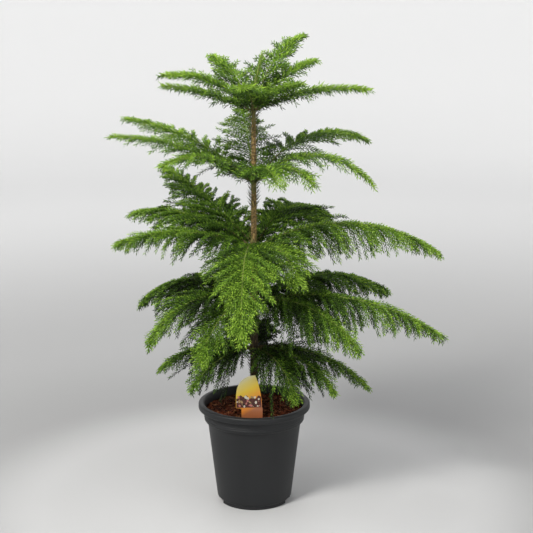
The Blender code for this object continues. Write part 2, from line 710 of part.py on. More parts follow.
def make_frond(name, whorl, number, bough, axis, start, obstacles):
    """One frond: its stem and two ranks of branchlets, kept clear of everything before it."""
    rng = random.Random(SEED + 97 * WHORLS.index(whorl) + 11 * number)
    sector = sector_of(whorl, bough)
    stem = frond_stem(whorl, bough, axis, start)
    blades = []
    first = start + FIRST_BRANCHLET / bough.length
    for step in range(whorl.blades):
        share = (step + 0.6) / (whorl.blades + 0.1)
        place = first + (1 - first) * share
        root = on_stem(axis, start, place)
        forward = at(axis, place)[1]
        side = 1 if step % 2 else -1
        across = sideways(forward, bough) * side
        angle = BRANCHLET_ANGLE_BASE + (BRANCHLET_ANGLE_TIP - BRANCHLET_ANGLE_BASE) * share
        angle += rng.uniform(-ANGLE_SPREAD, ANGLE_SPREAD)
        longest = whorl.branchlet * branchlet_share(share) * rng.uniform(*LENGTH_SPREAD)
        hang = bough.hang * rng.uniform(*HANG_SPREAD)
        for shorter in SHORTER:
            path = branchlet_path(root, forward, across, angle, longest * shorter, hang)
            if not inside_sector(path, bough, sector):
                continue
            half_width = whorl.blade_width * (SHORT_BLADE_WIDTH + (1 - SHORT_BLADE_WIDTH) * shorter)
            shape = (path, forward, side, half_width, stem_radius(whorl, place), whorl.teeth)
            trial = blade(*shape, BLADE_TEST_MARGIN)
            surface = BVHTree.FromBMesh(trial)
            trial.free()
            if any(surface.overlap(other) for other in obstacles):
                continue
            blades.append(blade(*shape))
            break
    return union(name, stem, blades, WHORL_GREENS[WHORLS.index(whorl)])


def make_crown(obstacles):
    """Makes every limb first, then the fronds from the top whorl down."""
    fronds = []
    stems = []
    for level, whorl in enumerate(WHORLS, start=1):
        for number, bough in enumerate(whorl.boughs, start=1):
            axis = bough_axis(whorl, bough)
            start = 0.0
            if whorl.bare and (level, number) != HANGING_FROND:
                end = whorl.bare / bough.length
                limb = make_limb(f"whorl_{level}_bough_{number}", whorl, axis, end)
                obstacles.append(obstacle(limb))
                start = end + CLEARANCE / bough.length
            name = f"whorl_{level}_frond_{number}"
            stem = frond_stem(whorl, bough, axis, start)
            stems.append(BVHTree.FromBMesh(stem))
            stem.free()
            fronds.append((name, whorl, number, bough, axis, start))
    for place, frond in enumerate(fronds):
        others = stems[:place] + stems[place + 1:]
        made = make_frond(*frond, obstacles + others)
        obstacles.append(obstacle(made))


pot = make_pot()
soil = make_soil()
label = make_label()
trunk = make_trunk()
leader = make_leader()
make_crown([obstacle(thing) for thing in (pot, soil, label, trunk, leader)])
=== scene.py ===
"""The looks of a young Norfolk Island pine in a nursery pot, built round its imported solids.

The limbs follow the rule of the part's source, written again here, and carry branchlets and
needles as fine as the real ones.  Units are metres, +Z is up, and the camera looks along +Y.
"""

import random
from collections import namedtuple
from math import ceil, cos, hypot, pi, radians, sin, sqrt, tau

import bmesh
import bpy
import numpy as np
from mathutils import Matrix, Vector
from mathutils.noise import noise as height_noise


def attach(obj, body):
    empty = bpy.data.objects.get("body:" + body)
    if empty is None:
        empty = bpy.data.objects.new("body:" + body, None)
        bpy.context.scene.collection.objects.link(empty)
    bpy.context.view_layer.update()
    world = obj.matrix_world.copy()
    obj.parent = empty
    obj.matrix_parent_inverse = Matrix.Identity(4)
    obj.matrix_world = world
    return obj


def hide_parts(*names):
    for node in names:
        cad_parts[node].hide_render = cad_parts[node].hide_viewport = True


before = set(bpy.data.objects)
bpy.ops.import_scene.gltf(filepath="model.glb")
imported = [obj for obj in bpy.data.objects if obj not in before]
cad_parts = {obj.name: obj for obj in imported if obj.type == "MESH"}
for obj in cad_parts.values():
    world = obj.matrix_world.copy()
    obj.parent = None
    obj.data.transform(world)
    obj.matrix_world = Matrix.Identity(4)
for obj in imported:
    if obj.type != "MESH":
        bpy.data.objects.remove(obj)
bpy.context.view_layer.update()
rng = np.random.default_rng(41)

# ---- sizes shared with the solids

POT_HEIGHT = 0.22
RIM_RADIUS = 0.12
LIP_HEIGHT = 0.014
LIP_ROUND = 0.003
COLLAR_RADIUS = 0.1075
COLLAR_FOOT = 0.182
BODY_TOP_RADIUS = 0.1005
BODY_FOOT_RADIUS = 0.0805
FOOT_RADIUS = 0.0775
FOOT_HEIGHT = 0.01
STEP_HEIGHT = 0.002
WALL = 0.0022
FLOOR = 0.004
DRAIN_TURN = 17.0
DRAIN_WIDTH = 0.036
DRAIN_HEIGHT = 0.0075
DRAIN_REACH = 0.01
SOIL_TOP = 0.205
SOIL_EDGE = 0.201

LABEL_AT = (-0.004, -0.078)
LABEL_TURN = radians(4)
LABEL_LEAN = radians(7)
LABEL_HEIGHT = 0.094
LABEL_STAKE_WIDTH = 0.044
LABEL_STAKE_HEIGHT = 0.024
LABEL_DEPTH = 0.03
LABEL_THICKNESS = 0.0012
LABEL_POINT = 0.0075
LABEL_RIGHT = 0.0135
LABEL_LEFT = 0.041
LABEL_RIGHT_POWER = 2.0
LABEL_LEFT_POWER = 4.0
LABEL_SHOULDER = 0.0015
LABEL_HEAD = LABEL_STAKE_HEIGHT + LABEL_SHOULDER

TRUNK_TOP = 0.868
FLARE_RADIUS = 0.0135
FLARE_HEIGHT = 0.022
TRUNK_FOOT_RADIUS = 0.0092
TRUNK_TOP_RADIUS = 0.004
WHORL_SWELLING = 0.0012
WHORL_SWELLING_REACH = 0.014

LEADER_HEIGHT = 0.094
LEADER_LEAN = 0.018
LEADER_RADIUS = 0.004

BOUGH_TIP_RADIUS = 0.0016
BRANCHLET_ANGLE_BASE = radians(62)
BRANCHLET_ANGLE_TIP = radians(34)
FULLEST = 0.25
SHARE_AT_BASE = 0.6
SHARE_LOST_AT_TIP = 0.84
TAPER_BEND = 1.15
SHORTER = (1.0, 0.8, 0.6, 0.42)
SECTOR_SLACK = radians(18)
SECTOR_LIMIT = radians(52)
SECTOR_FREE_RADIUS = 0.045
STEEP = 0.3

Bough = namedtuple("Bough", "azimuth length rise droop hang sweep", defaults=(0,))
Whorl = namedtuple("Whorl", "height radius bend bare branchlet boughs")


def rows(*boughs):
    return tuple(Bough(*bough) for bough in boughs)


WHORLS = (
    Whorl(0.848, 0.0019, 0.7, 0.0, 0.054, rows(
        (120, 0.210, 62, 8, 0.5),
        (160, 0.222, 60, -10, 0.4),
        (206, 0.207, 33, 6, 0.4),
        (262, 0.145, 62, 0, 0.3),
        (318, 0.150, 56, 6, 0.3),
        (353, 0.242, 39, -8, 0.4),
        (42, 0.202, 66, 4, 0.5),
        (60, 0.270, 75, 6, 0.3),
    )),
    Whorl(0.702, 0.0022, 0.9, 0.0, 0.078, rows(
        (98, 0.250, 46, 20, 0.5),
        (148, 0.352, 37, 2, 0.5),
        (168, 0.320, 36, -2, 0.5),
        (217, 0.238, 50, -18, 0.6),
        (286, 0.194, 50, -32, 0.6),
        (318, 0.176, 52, -40, 0.7),
        (352, 0.276, 56, -50, 0.7),
        (38, 0.344, 54, -28, 0.6),
    )),
    Whorl(0.564, 0.0028, 1.0, 0.036, 0.098, rows(
        (135, 0.314, 34, 18, 0.7),
        (160, 0.286, 37, -14, 0.9),
        (197, 0.292, 26, -16, 0.7),
        (261, 0.328, 22, -78, 0.6, 10),
        (303, 0.180, 25, -58, 0.6),
        (357, 0.404, 32, -35, 1.8),
        (57, 0.312, 50, -48, 1.0),
    )),
    Whorl(0.445, 0.0030, 1.0, 0.036, 0.098, rows(
        (153, 0.298, 33, -48, 1.2),
        (205, 0.264, 30, -62, 0.7),
        (240, 0.248, 20, -64, 0.8),
        (325, 0.280, 20, -48, 1.9),
        (342, 0.408, 18, -30, 1.9),
        (25, 0.338, 31, -36, 1.5),
        (98, 0.320, 36, -35, 1.0),
    )),
    Whorl(0.340, 0.0029, 1.0, 0.032, 0.080, rows(
        (172, 0.215, 10, -42, 1.0),
        (210, 0.170, 4, -58, 0.9),
        (333, 0.205, 10, -54, 1.2),
        (352, 0.262, 8, -46, 1.2),
        (308, 0.178, 14, -74, 0.9),
        (95, 0.248, 25, -40, 1.0),
    )),
)

# ---- sizes of the finer growth

# For each whorl: the gap between branchlets, their needles' length, width, thinness and spread in
# degrees, the length, gap and spread of the bough's own needles, and the greens at its foot and tip.
# The greens are darker at the foot and on lower whorls: older growth, and painted shade inside the crown.
Growth = namedtuple("Growth", "spacing needle width thin spread axis_needle axis_gap axis_spread inner outer")
GROWTHS = (
    Growth(0.0118, 0.0120, 0.0019, 1.55, 60, 0.0150, 0.0014, 62, 2.6, 5.2),
    Growth(0.0092, 0.0102, 0.0020, 1.35, 60, 0.0125, 0.0014, 60, 1.7, 4.8),
    Growth(0.0104, 0.0088, 0.0021, 1.00, 60, 0.0095, 0.0013, 60, 2.9, 4.2),
    Growth(0.0104, 0.0086, 0.0021, 1.00, 60, 0.0093, 0.0013, 60, 1.5, 3.8),
    Growth(0.0100, 0.0078, 0.0021, 1.00, 60, 0.0080, 0.0013, 60, 1.0, 3.5),
)
# For each whorl: its layers of branchlets, each with the least and most hang, how far out along
# the bough it goes, and its length.
LAYERS = (
    ((0.3, 0.9, 1.0, 1.05), (1.2, 2.2, 1.0, 0.95)),
    ((0.5, 1.6, 1.0, 1.05),),
    ((0.35, 1.0, 1.0, 1.12), (1.3, 2.8, 1.0, 1.04), (0.4, 1.6, 0.3, 1.4)),
    ((0.35, 1.0, 1.0, 1.14), (1.3, 2.8, 1.0, 1.12), (0.5, 1.8, 0.4, 1.4)),
    ((0.2, 0.8, 1.0, 1.05), (1.2, 2.4, 1.0, 0.9), (0.4, 1.6, 0.3, 1.6), (2.2, 4.0, 0.15, 2.2)),
)
LAYER_ANGLE = 0.18  # by which each next layer lies nearer its bough
LAYER_SHADE = 0.8  # by which each next layer is darker, as painted shade beneath the layers before it
FIRST_BRANCHLET = 0.01  # from the trunk
ANGLE_SPREAD = 0.16  # of branchlets about their rule
LENGTH_SPREAD = (0.62, 1.08)
LIFT_SPREAD = (-0.12, 0.34)
LONGER = 1.08  # than the solids' branchlets, which are cut square
BACK_NEEDLES = 0.22  # needles are this much shorter on boughs that grow to the back
BACK_WIDTH = 0.25  # and wider
BACK_THIN = 0.3  # and closer
BACK_SPACING = 0.32  # branchlets are this much closer there
CLEAR = 0.0045  # between a branchlet's middle and what it may not touch
POINTS = 9  # along each strand
AXIS_SAMPLES = 48
AXIS_RUNS = 4  # of needles on a bough, whose greens get newer
TWIG_RADII = (0.00105, 0.00055)
TWIG_SECTIONS = (0, 3, 5, 8)
TWIG_SIDES = 3

NEEDLE_COUNT = 165_000  # on all the branchlets
FEWEST_NEEDLES = 4  # on one strand
NEEDLE_LENGTHS = (0.82, 1.12)
NEEDLE_SPREADS = (0.85, 1.15)
NEEDLE_PLACES = (0.2, 0.8)
NEEDLE_TURN = 0.25  # how far a needle stands off its spiral
NEEDLE_ROLL = 1.2  # about its own length, either way
NEEDLE_BEND = 0.4  # where along a needle it bends forward and is widest
STUB_BEND = 0.22  # the same for the old needles on the trunk
BENT_SPREAD = 0.62  # the spread beyond the bend, as a share of that before it
NEEDLE_SUNK = 0.55  # where in the stem's radius a needle's root lies
CLOSING_FROM = 0.82  # the needles close in from here to a strand's tip
CLOSING = 0.45  # by this share of their spread
STRAND_TURN = 2.4  # from the first needle of one strand to that of the next
NEEDLE_TONES = 1.5  # how far the greens of one spray spread
PAINTED_TOP_LIGHT = 1.5  # how much lighter a spray's upper needles are: painted light on top and painted shade beneath
SPRAY_TONES = 1.2  # how far the greens of one bough's sprays spread
SUNNY_TONES = 0.6  # how much lighter boughs towards the light are
SUNNY_AZIMUTH = 285
TIP_NEEDLES = 0.006  # the reach of the last needles beyond a bough's end
TIP_GAP = 0.0008  # between the needles at a bough's tip
SHORT = 0.8  # a branchlet's first needles and a bough's last, of full length
GOLDEN_TURN = radians(137.5)
PIECE_TRIANGLES = 192_000

# Each relief is the height, spacing, width and length of the cushions under old needles.
BOUGH_RELIEF = (0.0005, 0.0011, 0.9, 0.0045)
BOUGH_RING_GAP = 0.0022
BOUGH_SIDES = 8
BOUGH_SINK = 0.003  # of a bough's foot into the trunk
BOUGH_COLLAR = 0.35  # by which a bough is thicker at its foot
BOUGH_COLLAR_REACH = 0.008
GREEN_FROM = 0.3  # along a bough, where its bark turns green
TRUNK_RELIEF = (0.0009, 0.00055, 0.42, 0.0065)
TRUNK_RINGS = 560
TRUNK_SIDES = 40
GREEN_BARK_REACH = 0.02  # above and below the three top whorls
SHADED_BARK_TOP = 0.385  # below this the bark is darkest, as painted shade under the lowest fronds
TRUNK_NEEDLE_WIDTH = 0.0019
LEADER_RELIEF = (0.0006, 0.0009, 0.8, 0.004)
LEADER_RINGS = 60
LEADER_SIDES = 12
LEADER_NEEDLE_WIDTH = 0.0017
LEADER_NEEDLE_GAP = 0.0006
LEADER_NEEDLE_LENGTH = 0.014

POT_STEPS = 160
SOIL_STEPS = 200
STAGE_STEPS = 96
AXIS_HOLE = 0.0002  # of the ring that closes a turned body
AXIS_WELD = 0.0005  # which welds that ring shut
PLATE_WELD = 0.00001  # the same for the corners of the label's plates
FOOT_ROUND = 0.0015
STEP_EASE = 0.0006  # of the steps under collar and body
LIP_CROWN = 0.0045
MOUTH_ROUND = 0.0035
BEAD = 0.0006  # each fine bead's height on the collar
BEAD_REACH = 0.001  # and half its width
BEAD_HEIGHTS = (0.006, 0.01)
SOIL_LIFT = 0.0003  # off the pot's floor
SOIL_GAP = 0.0004  # from the pot's wall to the soil
CHIP_COUNT = 2600
CHIP_SIZES = (0.0009, 0.0012, 0.0016, 0.0024)
CHIP_EDGE = 0.004  # from the wall to the last chip
PRINT_THICKNESS = 0.0001
BAND_STEPS = 24  # along the wavy top of the label's dark band
BAND_HEIGHT = 0.0225
BAND_WAVE = 0.005
SPOT_COUNT = 34
SPOT_SIZES = (0.0012, 0.0036)
SPOT_CORNERS = 14
SPOT_REACH = 0.0195  # above the band's foot
GOLDEN_SHARE = 0.618  # of the band's width from one spot to the next

CAMERA_AT = (0.0264, -2.84, 1.1835)
CAMERA_PITCH = radians(13.2)
CAMERA_LENS = 93.5
SENSOR_WIDTH = 36.0

UP = np.array((0.0, 0.0, 1.0))
BACK = np.array((0.0, 1.0, 0.0))


def mix(first, last, share):
    return first + (last - first) * share


# ---- materials

def set_inputs(node, **values):
    for name, value in values.items():
        node.inputs[name.replace("_", " ")].default_value = value


def link(source, target):
    target.id_data.links.new(source, target)


def principled(name, color, roughness, **values):
    """A material and its Principled shader, with the shader's own sockets set."""
    material = bpy.data.materials.new(name)
    material.use_nodes = True
    shader = material.node_tree.nodes["Principled BSDF"]
    set_inputs(shader, Base_Color=(*color, 1.0), Roughness=roughness, **values)
    material.diffuse_color = (*color, 1.0)
    return material, shader


def added(shader, kind, source=None, **values):
    """A new node for the shader, with inputs set and its first one linked to the source."""
    node = shader.id_data.nodes.new("ShaderNode" + kind)
    set_inputs(node, **values)
    if source:
        link(source, node.inputs[0])
    return node


def noise(shader, scale, detail, stretch=(1.0, 1.0, 1.0)):
    """The value of a noise texture in the piece's own coordinates."""
    mapping = added(shader, "Mapping", added(shader, "TexCoord").outputs["Object"], Scale=stretch)
    return added(shader, "TexNoise", mapping.outputs["Vector"], Scale=scale, Detail=detail).outputs["Fac"]


def measure(shader, operation, most, direction=(0.0, 0.0, 0.0)):
    """A measure of the place on the piece, which is 1 at the most."""
    vector = added(shader, "VectorMath", added(shader, "TexCoord").outputs["Object"])
    vector.operation = operation
    vector.inputs[1].default_value = direction
    return added(shader, "MapRange", vector.outputs["Value"], From_Max=most).outputs["Result"]


def paint(shader, source, stops, socket="Base Color", interpolation="LINEAR"):
    """Colours a socket of the shader by a value; stops are (place, colour)."""
    ramp = added(shader, "ValToRGB", source)
    ramp.color_ramp.interpolation = interpolation
    elements = ramp.color_ramp.elements
    while len(elements) < len(stops):
        elements.new(0.5)
    for element, (place, color) in zip(elements, stops):
        element.position = place
        element.color = (*color, 1.0)
    link(ramp.outputs["Color"], shader.inputs[socket])


def vary_roughness(shader, source, low, high):
    scaled = added(shader, "MapRange", source, To_Min=low, To_Max=high)
    link(scaled.outputs["Result"], shader.inputs["Roughness"])


def add_bump(shader, source, strength, distance):
    bump = added(shader, "Bump", Strength=strength, Distance=distance)
    link(source, bump.inputs["Height"])
    link(bump.outputs["Normal"], shader.inputs["Normal"])


def mottled(name, stops, scale, roughness, bump, stretch=(1.0, 1.0, 1.0), specular=0.5):
    """Colours that a noise pattern mixes, with the same pattern as its relief."""
    material, shader = principled(name, stops[0][1], roughness[0], Specular_IOR_Level=specular)
    pattern = noise(shader, scale, 6.0, stretch)
    paint(shader, pattern, stops)
    vary_roughness(shader, pattern, *roughness)
    add_bump(shader, pattern, *bump)
    return material


def label_ink(name, dark, light):
    return mottled("label_" + name, ((0.35, dark), (0.7, light)), 400.0, (0.35, 0.45), (0.05, 0.0002))


def chip_material(name, dark, light, roughness, specular):
    return mottled("chip_" + name, ((0.3, dark), (0.7, light)), 500.0, roughness, (0.5, 0.0006),
                   specular=specular)


def plant_green(name, color):
    """A plain green with an uneven, waxy gloss."""
    material, shader = principled(name, color, 0.5, Specular_IOR_Level=0.14)
    vary_roughness(shader, noise(shader, 60.0, 2.0), 0.36, 0.56)
    return material


def pot_material():
    """Dark plastic with a fine grain and faint lighter and darker streaks down the wall, a painted sheen of
    soft highlights.
    """
    material, shader = principled("pot_plastic", (0.0135, 0.0145, 0.0155), 0.5, Specular_IOR_Level=0.36)
    sheen_streaks = noise(shader, 9.0, 3.0, (1.0, 1.0, 0.12))
    # painted sheen: lighter and darker bands down the wall stand in for soft highlights
    paint(shader, sheen_streaks, ((0.3, (0.0078, 0.0084, 0.0092)), (0.7, (0.0138, 0.0147, 0.0158))))
    vary_roughness(shader, sheen_streaks, 0.44, 0.6)
    add_bump(shader, noise(shader, 900.0, 2.0), 0.12, 0.0004)
    return material


def label_material():
    """Printed card, from pale yellow at the point to orange on the right."""
    material, shader = principled("label_card", (0.85, 0.45, 0.06), 0.34, Coat_Weight=0.3)
    paint(shader, measure(shader, "DOT_PRODUCT", LABEL_HEIGHT, (-0.55, 1.0, 0.0)), (
        (0.0, (0.4, 0.13, 0.05)), (0.2, (0.46, 0.155, 0.055)),
        (0.3, (0.85, 0.27, 0.015)), (0.52, (0.92, 0.4, 0.012)), (0.72, (0.95, 0.66, 0.03)),
        (0.9, (0.88, 0.72, 0.2)), (1.0, (0.84, 0.76, 0.42))))
    add_bump(shader, noise(shader, 700.0, 2.0), 0.05, 0.0002)
    return material


POT_PLASTIC = pot_material()
LABEL_CARD = label_material()
LABEL_RED = label_ink("red", (0.06, 0.012, 0.008), (0.13, 0.022, 0.012))
LABEL_INKS = (
    label_ink("white", (0.72, 0.66, 0.52), (0.86, 0.8, 0.66)),
    label_ink("pink", (0.58, 0.19, 0.17), (0.7, 0.28, 0.22)),
    label_ink("tan", (0.42, 0.25, 0.1), (0.54, 0.34, 0.15)),
    label_ink("dark", (0.02, 0.008, 0.006), (0.04, 0.014, 0.01)),
)
SOIL_MIX = mottled("soil_mix", (
    (0.3, (0.012, 0.004, 0.002)), (0.5, (0.045, 0.012, 0.005)), (0.72, (0.11, 0.03, 0.011))),
    160.0, (0.8, 1.0), (0.8, 0.002), specular=0.06)
CHIP_MATERIALS = (
    chip_material("dark", (0.02, 0.006, 0.003), (0.05, 0.013, 0.006), (0.75, 0.95), 0.08),
    chip_material("red", (0.075, 0.018, 0.007), (0.15, 0.038, 0.014), (0.7, 0.95), 0.12),
    chip_material("tan", (0.15, 0.058, 0.022), (0.26, 0.115, 0.048), (0.7, 0.95), 0.12),
)
TRUNK_BARK = mottled("trunk_bark", (
    (0.36, (0.045, 0.028, 0.01)), (0.5, (0.16, 0.1, 0.032)), (0.64, (0.36, 0.25, 0.09))),
    380.0, (0.7, 0.92), (0.5, 0.0007), (1.0, 1.0, 0.6))
TRUNK_GREEN = mottled("trunk_green", (
    (0.3, (0.06, 0.058, 0.016)), (0.5, (0.13, 0.12, 0.03)), (0.72, (0.23, 0.19, 0.06))),
    260.0, (0.65, 0.88), (0.5, 0.0006), (1.0, 1.0, 0.35))
# painted shade: the darkest bark, for the trunk under the lowest fronds
TRUNK_SHADE = mottled("trunk_painted_shade", (
    (0.28, (0.018, 0.012, 0.006)), (0.5, (0.045, 0.03, 0.012)), (0.72, (0.09, 0.062, 0.026))),
    260.0, (0.7, 0.92), (0.5, 0.0007), (1.0, 1.0, 0.35))
BOUGH_BROWN = mottled("bough_brown", (
    (0.3, (0.045, 0.036, 0.012)), (0.5, (0.1, 0.08, 0.024)), (0.72, (0.17, 0.13, 0.045))),
    420.0, (0.65, 0.88), (0.4, 0.0004))
BOUGH_GREEN = mottled("bough_green", (
    (0.3, (0.1, 0.14, 0.022)), (0.5, (0.18, 0.24, 0.04)), (0.72, (0.28, 0.33, 0.065))),
    420.0, (0.55, 0.8), (0.3, 0.0003))

# from shaded old sprays to the newest growth
GREENS = tuple(plant_green(f"green_{number}", color) for number, color in enumerate((
    (0.008, 0.016, 0.003),
    (0.018, 0.038, 0.005),
    (0.036, 0.078, 0.009),
    (0.063, 0.132, 0.014),
    (0.102, 0.202, 0.019),
    (0.158, 0.288, 0.027),
    (0.255, 0.405, 0.044),
), start=1))
NEEDLE_TAN = plant_green("needle_tan", (0.125, 0.105, 0.036))
NEEDLE_OLIVE = plant_green("needle_olive", (0.04, 0.062, 0.016))


# ---- mesh helpers

def unit(vectors):
    return vectors / np.linalg.norm(vectors, axis=-1, keepdims=True)


def placed(name, data):
    """A new object in the scene."""
    thing = bpy.data.objects.new(name, data)
    bpy.context.scene.collection.objects.link(thing)
    return thing


def evaluated_mesh(thing):
    """A mesh of a curve, or of an object with its modifiers."""
    bpy.context.view_layer.update()
    return bpy.data.meshes.new_from_object(thing.evaluated_get(bpy.context.evaluated_depsgraph_get()))


def mesh_object(name, vertices, faces, materials, numbers=None, smooth=True):
    """A mesh piece; the numbers share its faces out among the materials."""
    mesh = bpy.data.meshes.new(name)
    mesh.from_pydata(vertices, [], faces, shade_flat=not smooth)
    for material in materials:
        mesh.materials.append(material)
    if numbers is not None:
        mesh.polygons.foreach_set("material_index", numbers)
    return placed(name, mesh)


def dressed(thing, slot, *nodes):
    """Every piece rides on the one body and stands for its CAD nodes; its slot is not used."""
    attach(thing, "root")
    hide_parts(*nodes)


def weld(mesh, distance):
    """Welds corners that lie this near and faces the mesh outwards."""
    bm = bmesh.new()
    bm.from_mesh(mesh)
    bmesh.ops.remove_doubles(bm, verts=bm.verts, dist=distance)
    bmesh.ops.recalc_face_normals(bm, faces=bm.faces)
    bm.to_mesh(mesh)
    bm.free()


def scar_relief(along, turns, spacing, width, length):
    """The height, 0 to 1, of needle cushions at distances along a stem and turns round it.

    They stand in a golden spiral, spacing apart along the stem, and run down from their tops.
    """
    nearest = np.round(along / spacing)
    relief = np.zeros_like(along)
    reach = ceil(length / spacing)
    for step in range(-reach, reach + 1):
        number = nearest + step
        below = number * spacing - along
        apart = (turns - number * GOLDEN_TURN + pi) % tau - pi
        rise = np.clip(1 - np.abs(apart) / width, 0, 1)
        fall = np.clip(1 - np.where(below >= 0, below, -4 * below) / length, 0, 1)
        relief = np.maximum(relief, rise * fall)
    return relief


def tube(points, radii, sides, relief=None):
    """Vertices and triangles of a tube through evenly spaced points, closed at both ends."""
    forward = unit(np.gradient(points, axis=0))
    reference = UP if abs(forward[len(forward) // 2][2]) < 0.9 else np.array((1.0, 0.0, 0.0))
    side = unit(np.cross(forward, reference))
    lift = np.cross(side, forward)
    turns = np.arange(sides) * tau / sides
    ring = side[:, None] * np.cos(turns)[None, :, None] + lift[:, None] * np.sin(turns)[None, :, None]
    distance = np.concatenate(([0.0], np.cumsum(np.linalg.norm(np.diff(points, axis=0), axis=1))))
    reach = np.repeat(radii[:, None], sides, axis=1)
    if relief:
        height, spacing, width, length = relief
        along, around = np.meshgrid(distance, turns, indexing="ij")
        reach = reach + height * (scar_relief(along, around, spacing, width, length) - 0.5)
    vertices = (points[:, None] + ring * reach[..., None]).reshape(-1, 3)
    rows = len(points)
    first = np.arange((rows - 1) * sides).reshape(rows - 1, sides)
    after = np.roll(first, -1, axis=1)
    quads = np.stack((first, after, after + sides, first + sides), axis=-1).reshape(-1, 4)
    middle = len(vertices)
    start = np.arange(sides)
    last = start + (rows - 1) * sides
    foot = np.stack((np.roll(start, -1), start, np.full(sides, middle)), axis=-1)
    head = np.stack((last, np.roll(last, -1), np.full(sides, middle + 1)), axis=-1)
    return (np.vstack((vertices, points[:1], points[-1:])),
            np.concatenate((quads[:, (0, 1, 2)], quads[:, (0, 2, 3)], foot, head)))


def join(parts):
    """Joins (vertices, faces) pairs into one pair of arrays."""
    vertices, faces, base = [], [], 0
    for more_vertices, more_faces in parts:
        vertices.append(more_vertices)
        faces.append(more_faces + base)
        base += len(more_vertices)
    return np.concatenate(vertices), np.concatenate(faces)


# ---- the rule of growth

def trunk_radius(height):
    """The trunk's radius: an even taper, a flare at the soil and a swelling at each whorl."""
    share = (height - SOIL_TOP) / (TRUNK_TOP - SOIL_TOP)
    radius = mix(TRUNK_FOOT_RADIUS, TRUNK_TOP_RADIUS, share)
    flare = np.maximum(0.0, 1 - (height - SOIL_TOP) / FLARE_HEIGHT)
    radius += (FLARE_RADIUS - TRUNK_FOOT_RADIUS) * flare ** 2
    for whorl in WHORLS:
        near = np.maximum(0.0, 1 - abs(height - whorl.height) / WHORL_SWELLING_REACH)
        radius += WHORL_SWELLING * near
    return radius


def root_direction(whorl, bough):
    """The level direction in which a bough leaves the trunk, evenly spread in its whorl."""
    order = sorted(whorl.boughs)
    spacing = 360 / len(order)
    offset = sum(other.azimuth - spacing * place for place, other in enumerate(order)) / len(order)
    turn = radians(offset + spacing * order.index(bough))
    return np.array((cos(turn), sin(turn), 0.0))


def bough_axis(whorl, bough):
    """Evenly spaced points along a bough, from the trunk's surface to its tip."""
    root = root_direction(whorl, bough)
    step = bough.length / AXIS_SAMPLES
    points = [root * trunk_radius(whorl.height) + UP * whorl.height]
    points.append(points[0] + root * step)
    for number in range(1, AXIS_SAMPLES):
        share = (number + 0.5) / AXIS_SAMPLES
        slope = radians(mix(bough.rise, bough.droop, share ** whorl.bend))
        heading = radians(bough.azimuth + bough.sweep * share)
        direction = np.array((cos(slope) * cos(heading),
                              cos(slope) * sin(heading),
                              sin(slope)))
        points.append(points[-1] + direction * step)
    return np.array(points)


def at(axis, share):
    """The point and the forward direction at a share of the axis's length."""
    place = min(max(share, 0.0), 1.0) * (len(axis) - 1)
    number = min(int(place), len(axis) - 2)
    run = axis[number + 1] - axis[number]
    return axis[number] + run * (place - number), run / np.linalg.norm(run)


def stem_radius(whorl, share):
    """A bough's radius: slimmer than its solid, the more so towards the tip."""
    return mix(whorl.radius * 0.85, BOUGH_TIP_RADIUS * 0.45, share ** 0.8)


def sideways(forward, bough):
    """The level direction to the left of a bough."""
    azimuth = radians(bough.azimuth)
    across = np.cross(UP, forward)
    if np.linalg.norm(across) < STEEP:
        across = np.array((-sin(azimuth), cos(azimuth), 0.0))
    return across / np.linalg.norm(across)


def branchlet_share(share):
    """The length of a branchlet at a share of the frond, as a share of the longest."""
    if share < FULLEST:
        return SHARE_AT_BASE + (1 - SHARE_AT_BASE) * share / FULLEST
    return 1 - SHARE_LOST_AT_TIP * ((share - FULLEST) / (1 - FULLEST)) ** TAPER_BEND


def branchlet_path(root, forward, across, angle, length, hang):
    """Points along a branchlet, which leaves its bough at an angle and bends down."""
    start = forward * cos(angle) + across * sin(angle)
    points = [root]
    for step in range(POINTS - 1):
        share = (step + 0.5) / (POINTS - 1)
        direction = start - UP * hang * share
        points.append(points[-1] + direction / np.linalg.norm(direction) * (length / (POINTS - 1)))
    return np.array(points)


def turn_between(first, second):
    """The angle from the first azimuth to the second, between -pi and pi."""
    return (second - first + pi) % tau - pi


def sector_of(whorl, bough):
    """The angles on either side of a bough that its frond may fill."""
    own = radians(bough.azimuth)
    others = [turn_between(own, radians(other.azimuth)) for other in whorl.boughs if other is not bough]
    left = min(turn for turn in others if turn > 0) / 2 + SECTOR_SLACK
    right = -max(turn for turn in others if turn < 0) / 2 + SECTOR_SLACK
    return min(left, SECTOR_LIMIT), min(right, SECTOR_LIMIT)


def inside_sector(path, bough, sector):
    x, y, _ = path[3:][np.hypot(*path[3:, :2].T) >= SECTOR_FREE_RADIUS].T
    turns = turn_between(radians(bough.azimuth), np.arctan2(y, x))
    return not ((turns > sector[0]) | (turns < -sector[1])).any()


LABEL_FRAME = Matrix.Translation((*LABEL_AT, SOIL_TOP)) @ (
    Matrix.Rotation(LABEL_TURN, 4, "Z") @ Matrix.Rotation(radians(90) - LABEL_LEAN, 4, "X"))
LABEL_INVERSE = np.array(LABEL_FRAME.inverted())


def clear_of_pot(path):
    """Whether a path stays out of pot, soil, label and trunk."""
    reach = np.hypot(path[:, 0], path[:, 1])
    height = path[:, 2]
    over_soil = (reach < COLLAR_RADIUS - WALL - CLEAR) & (height > SOIL_TOP + CLEAR)
    in_pot = (reach < RIM_RADIUS + CLEAR) & (height < POT_HEIGHT + CLEAR) & ~over_soil
    x, y, z = (path @ LABEL_INVERSE[:3, :3].T + LABEL_INVERSE[:3, 3]).T
    in_label = ((x > LABEL_POINT - LABEL_LEFT - CLEAR) & (x < LABEL_POINT + LABEL_RIGHT + CLEAR)
                & (np.abs(z) < CLEAR) & (y < LABEL_HEIGHT + CLEAR))
    in_trunk = reach[2:] < trunk_radius(height[2:]) + CLEAR / 2
    return not (in_pot.any() or in_label.any() or in_trunk.any())


# ---- strands: branchlets and axes

Strand = namedtuple("Strand", "points lift needle width thin spread gap radii tone fresh")


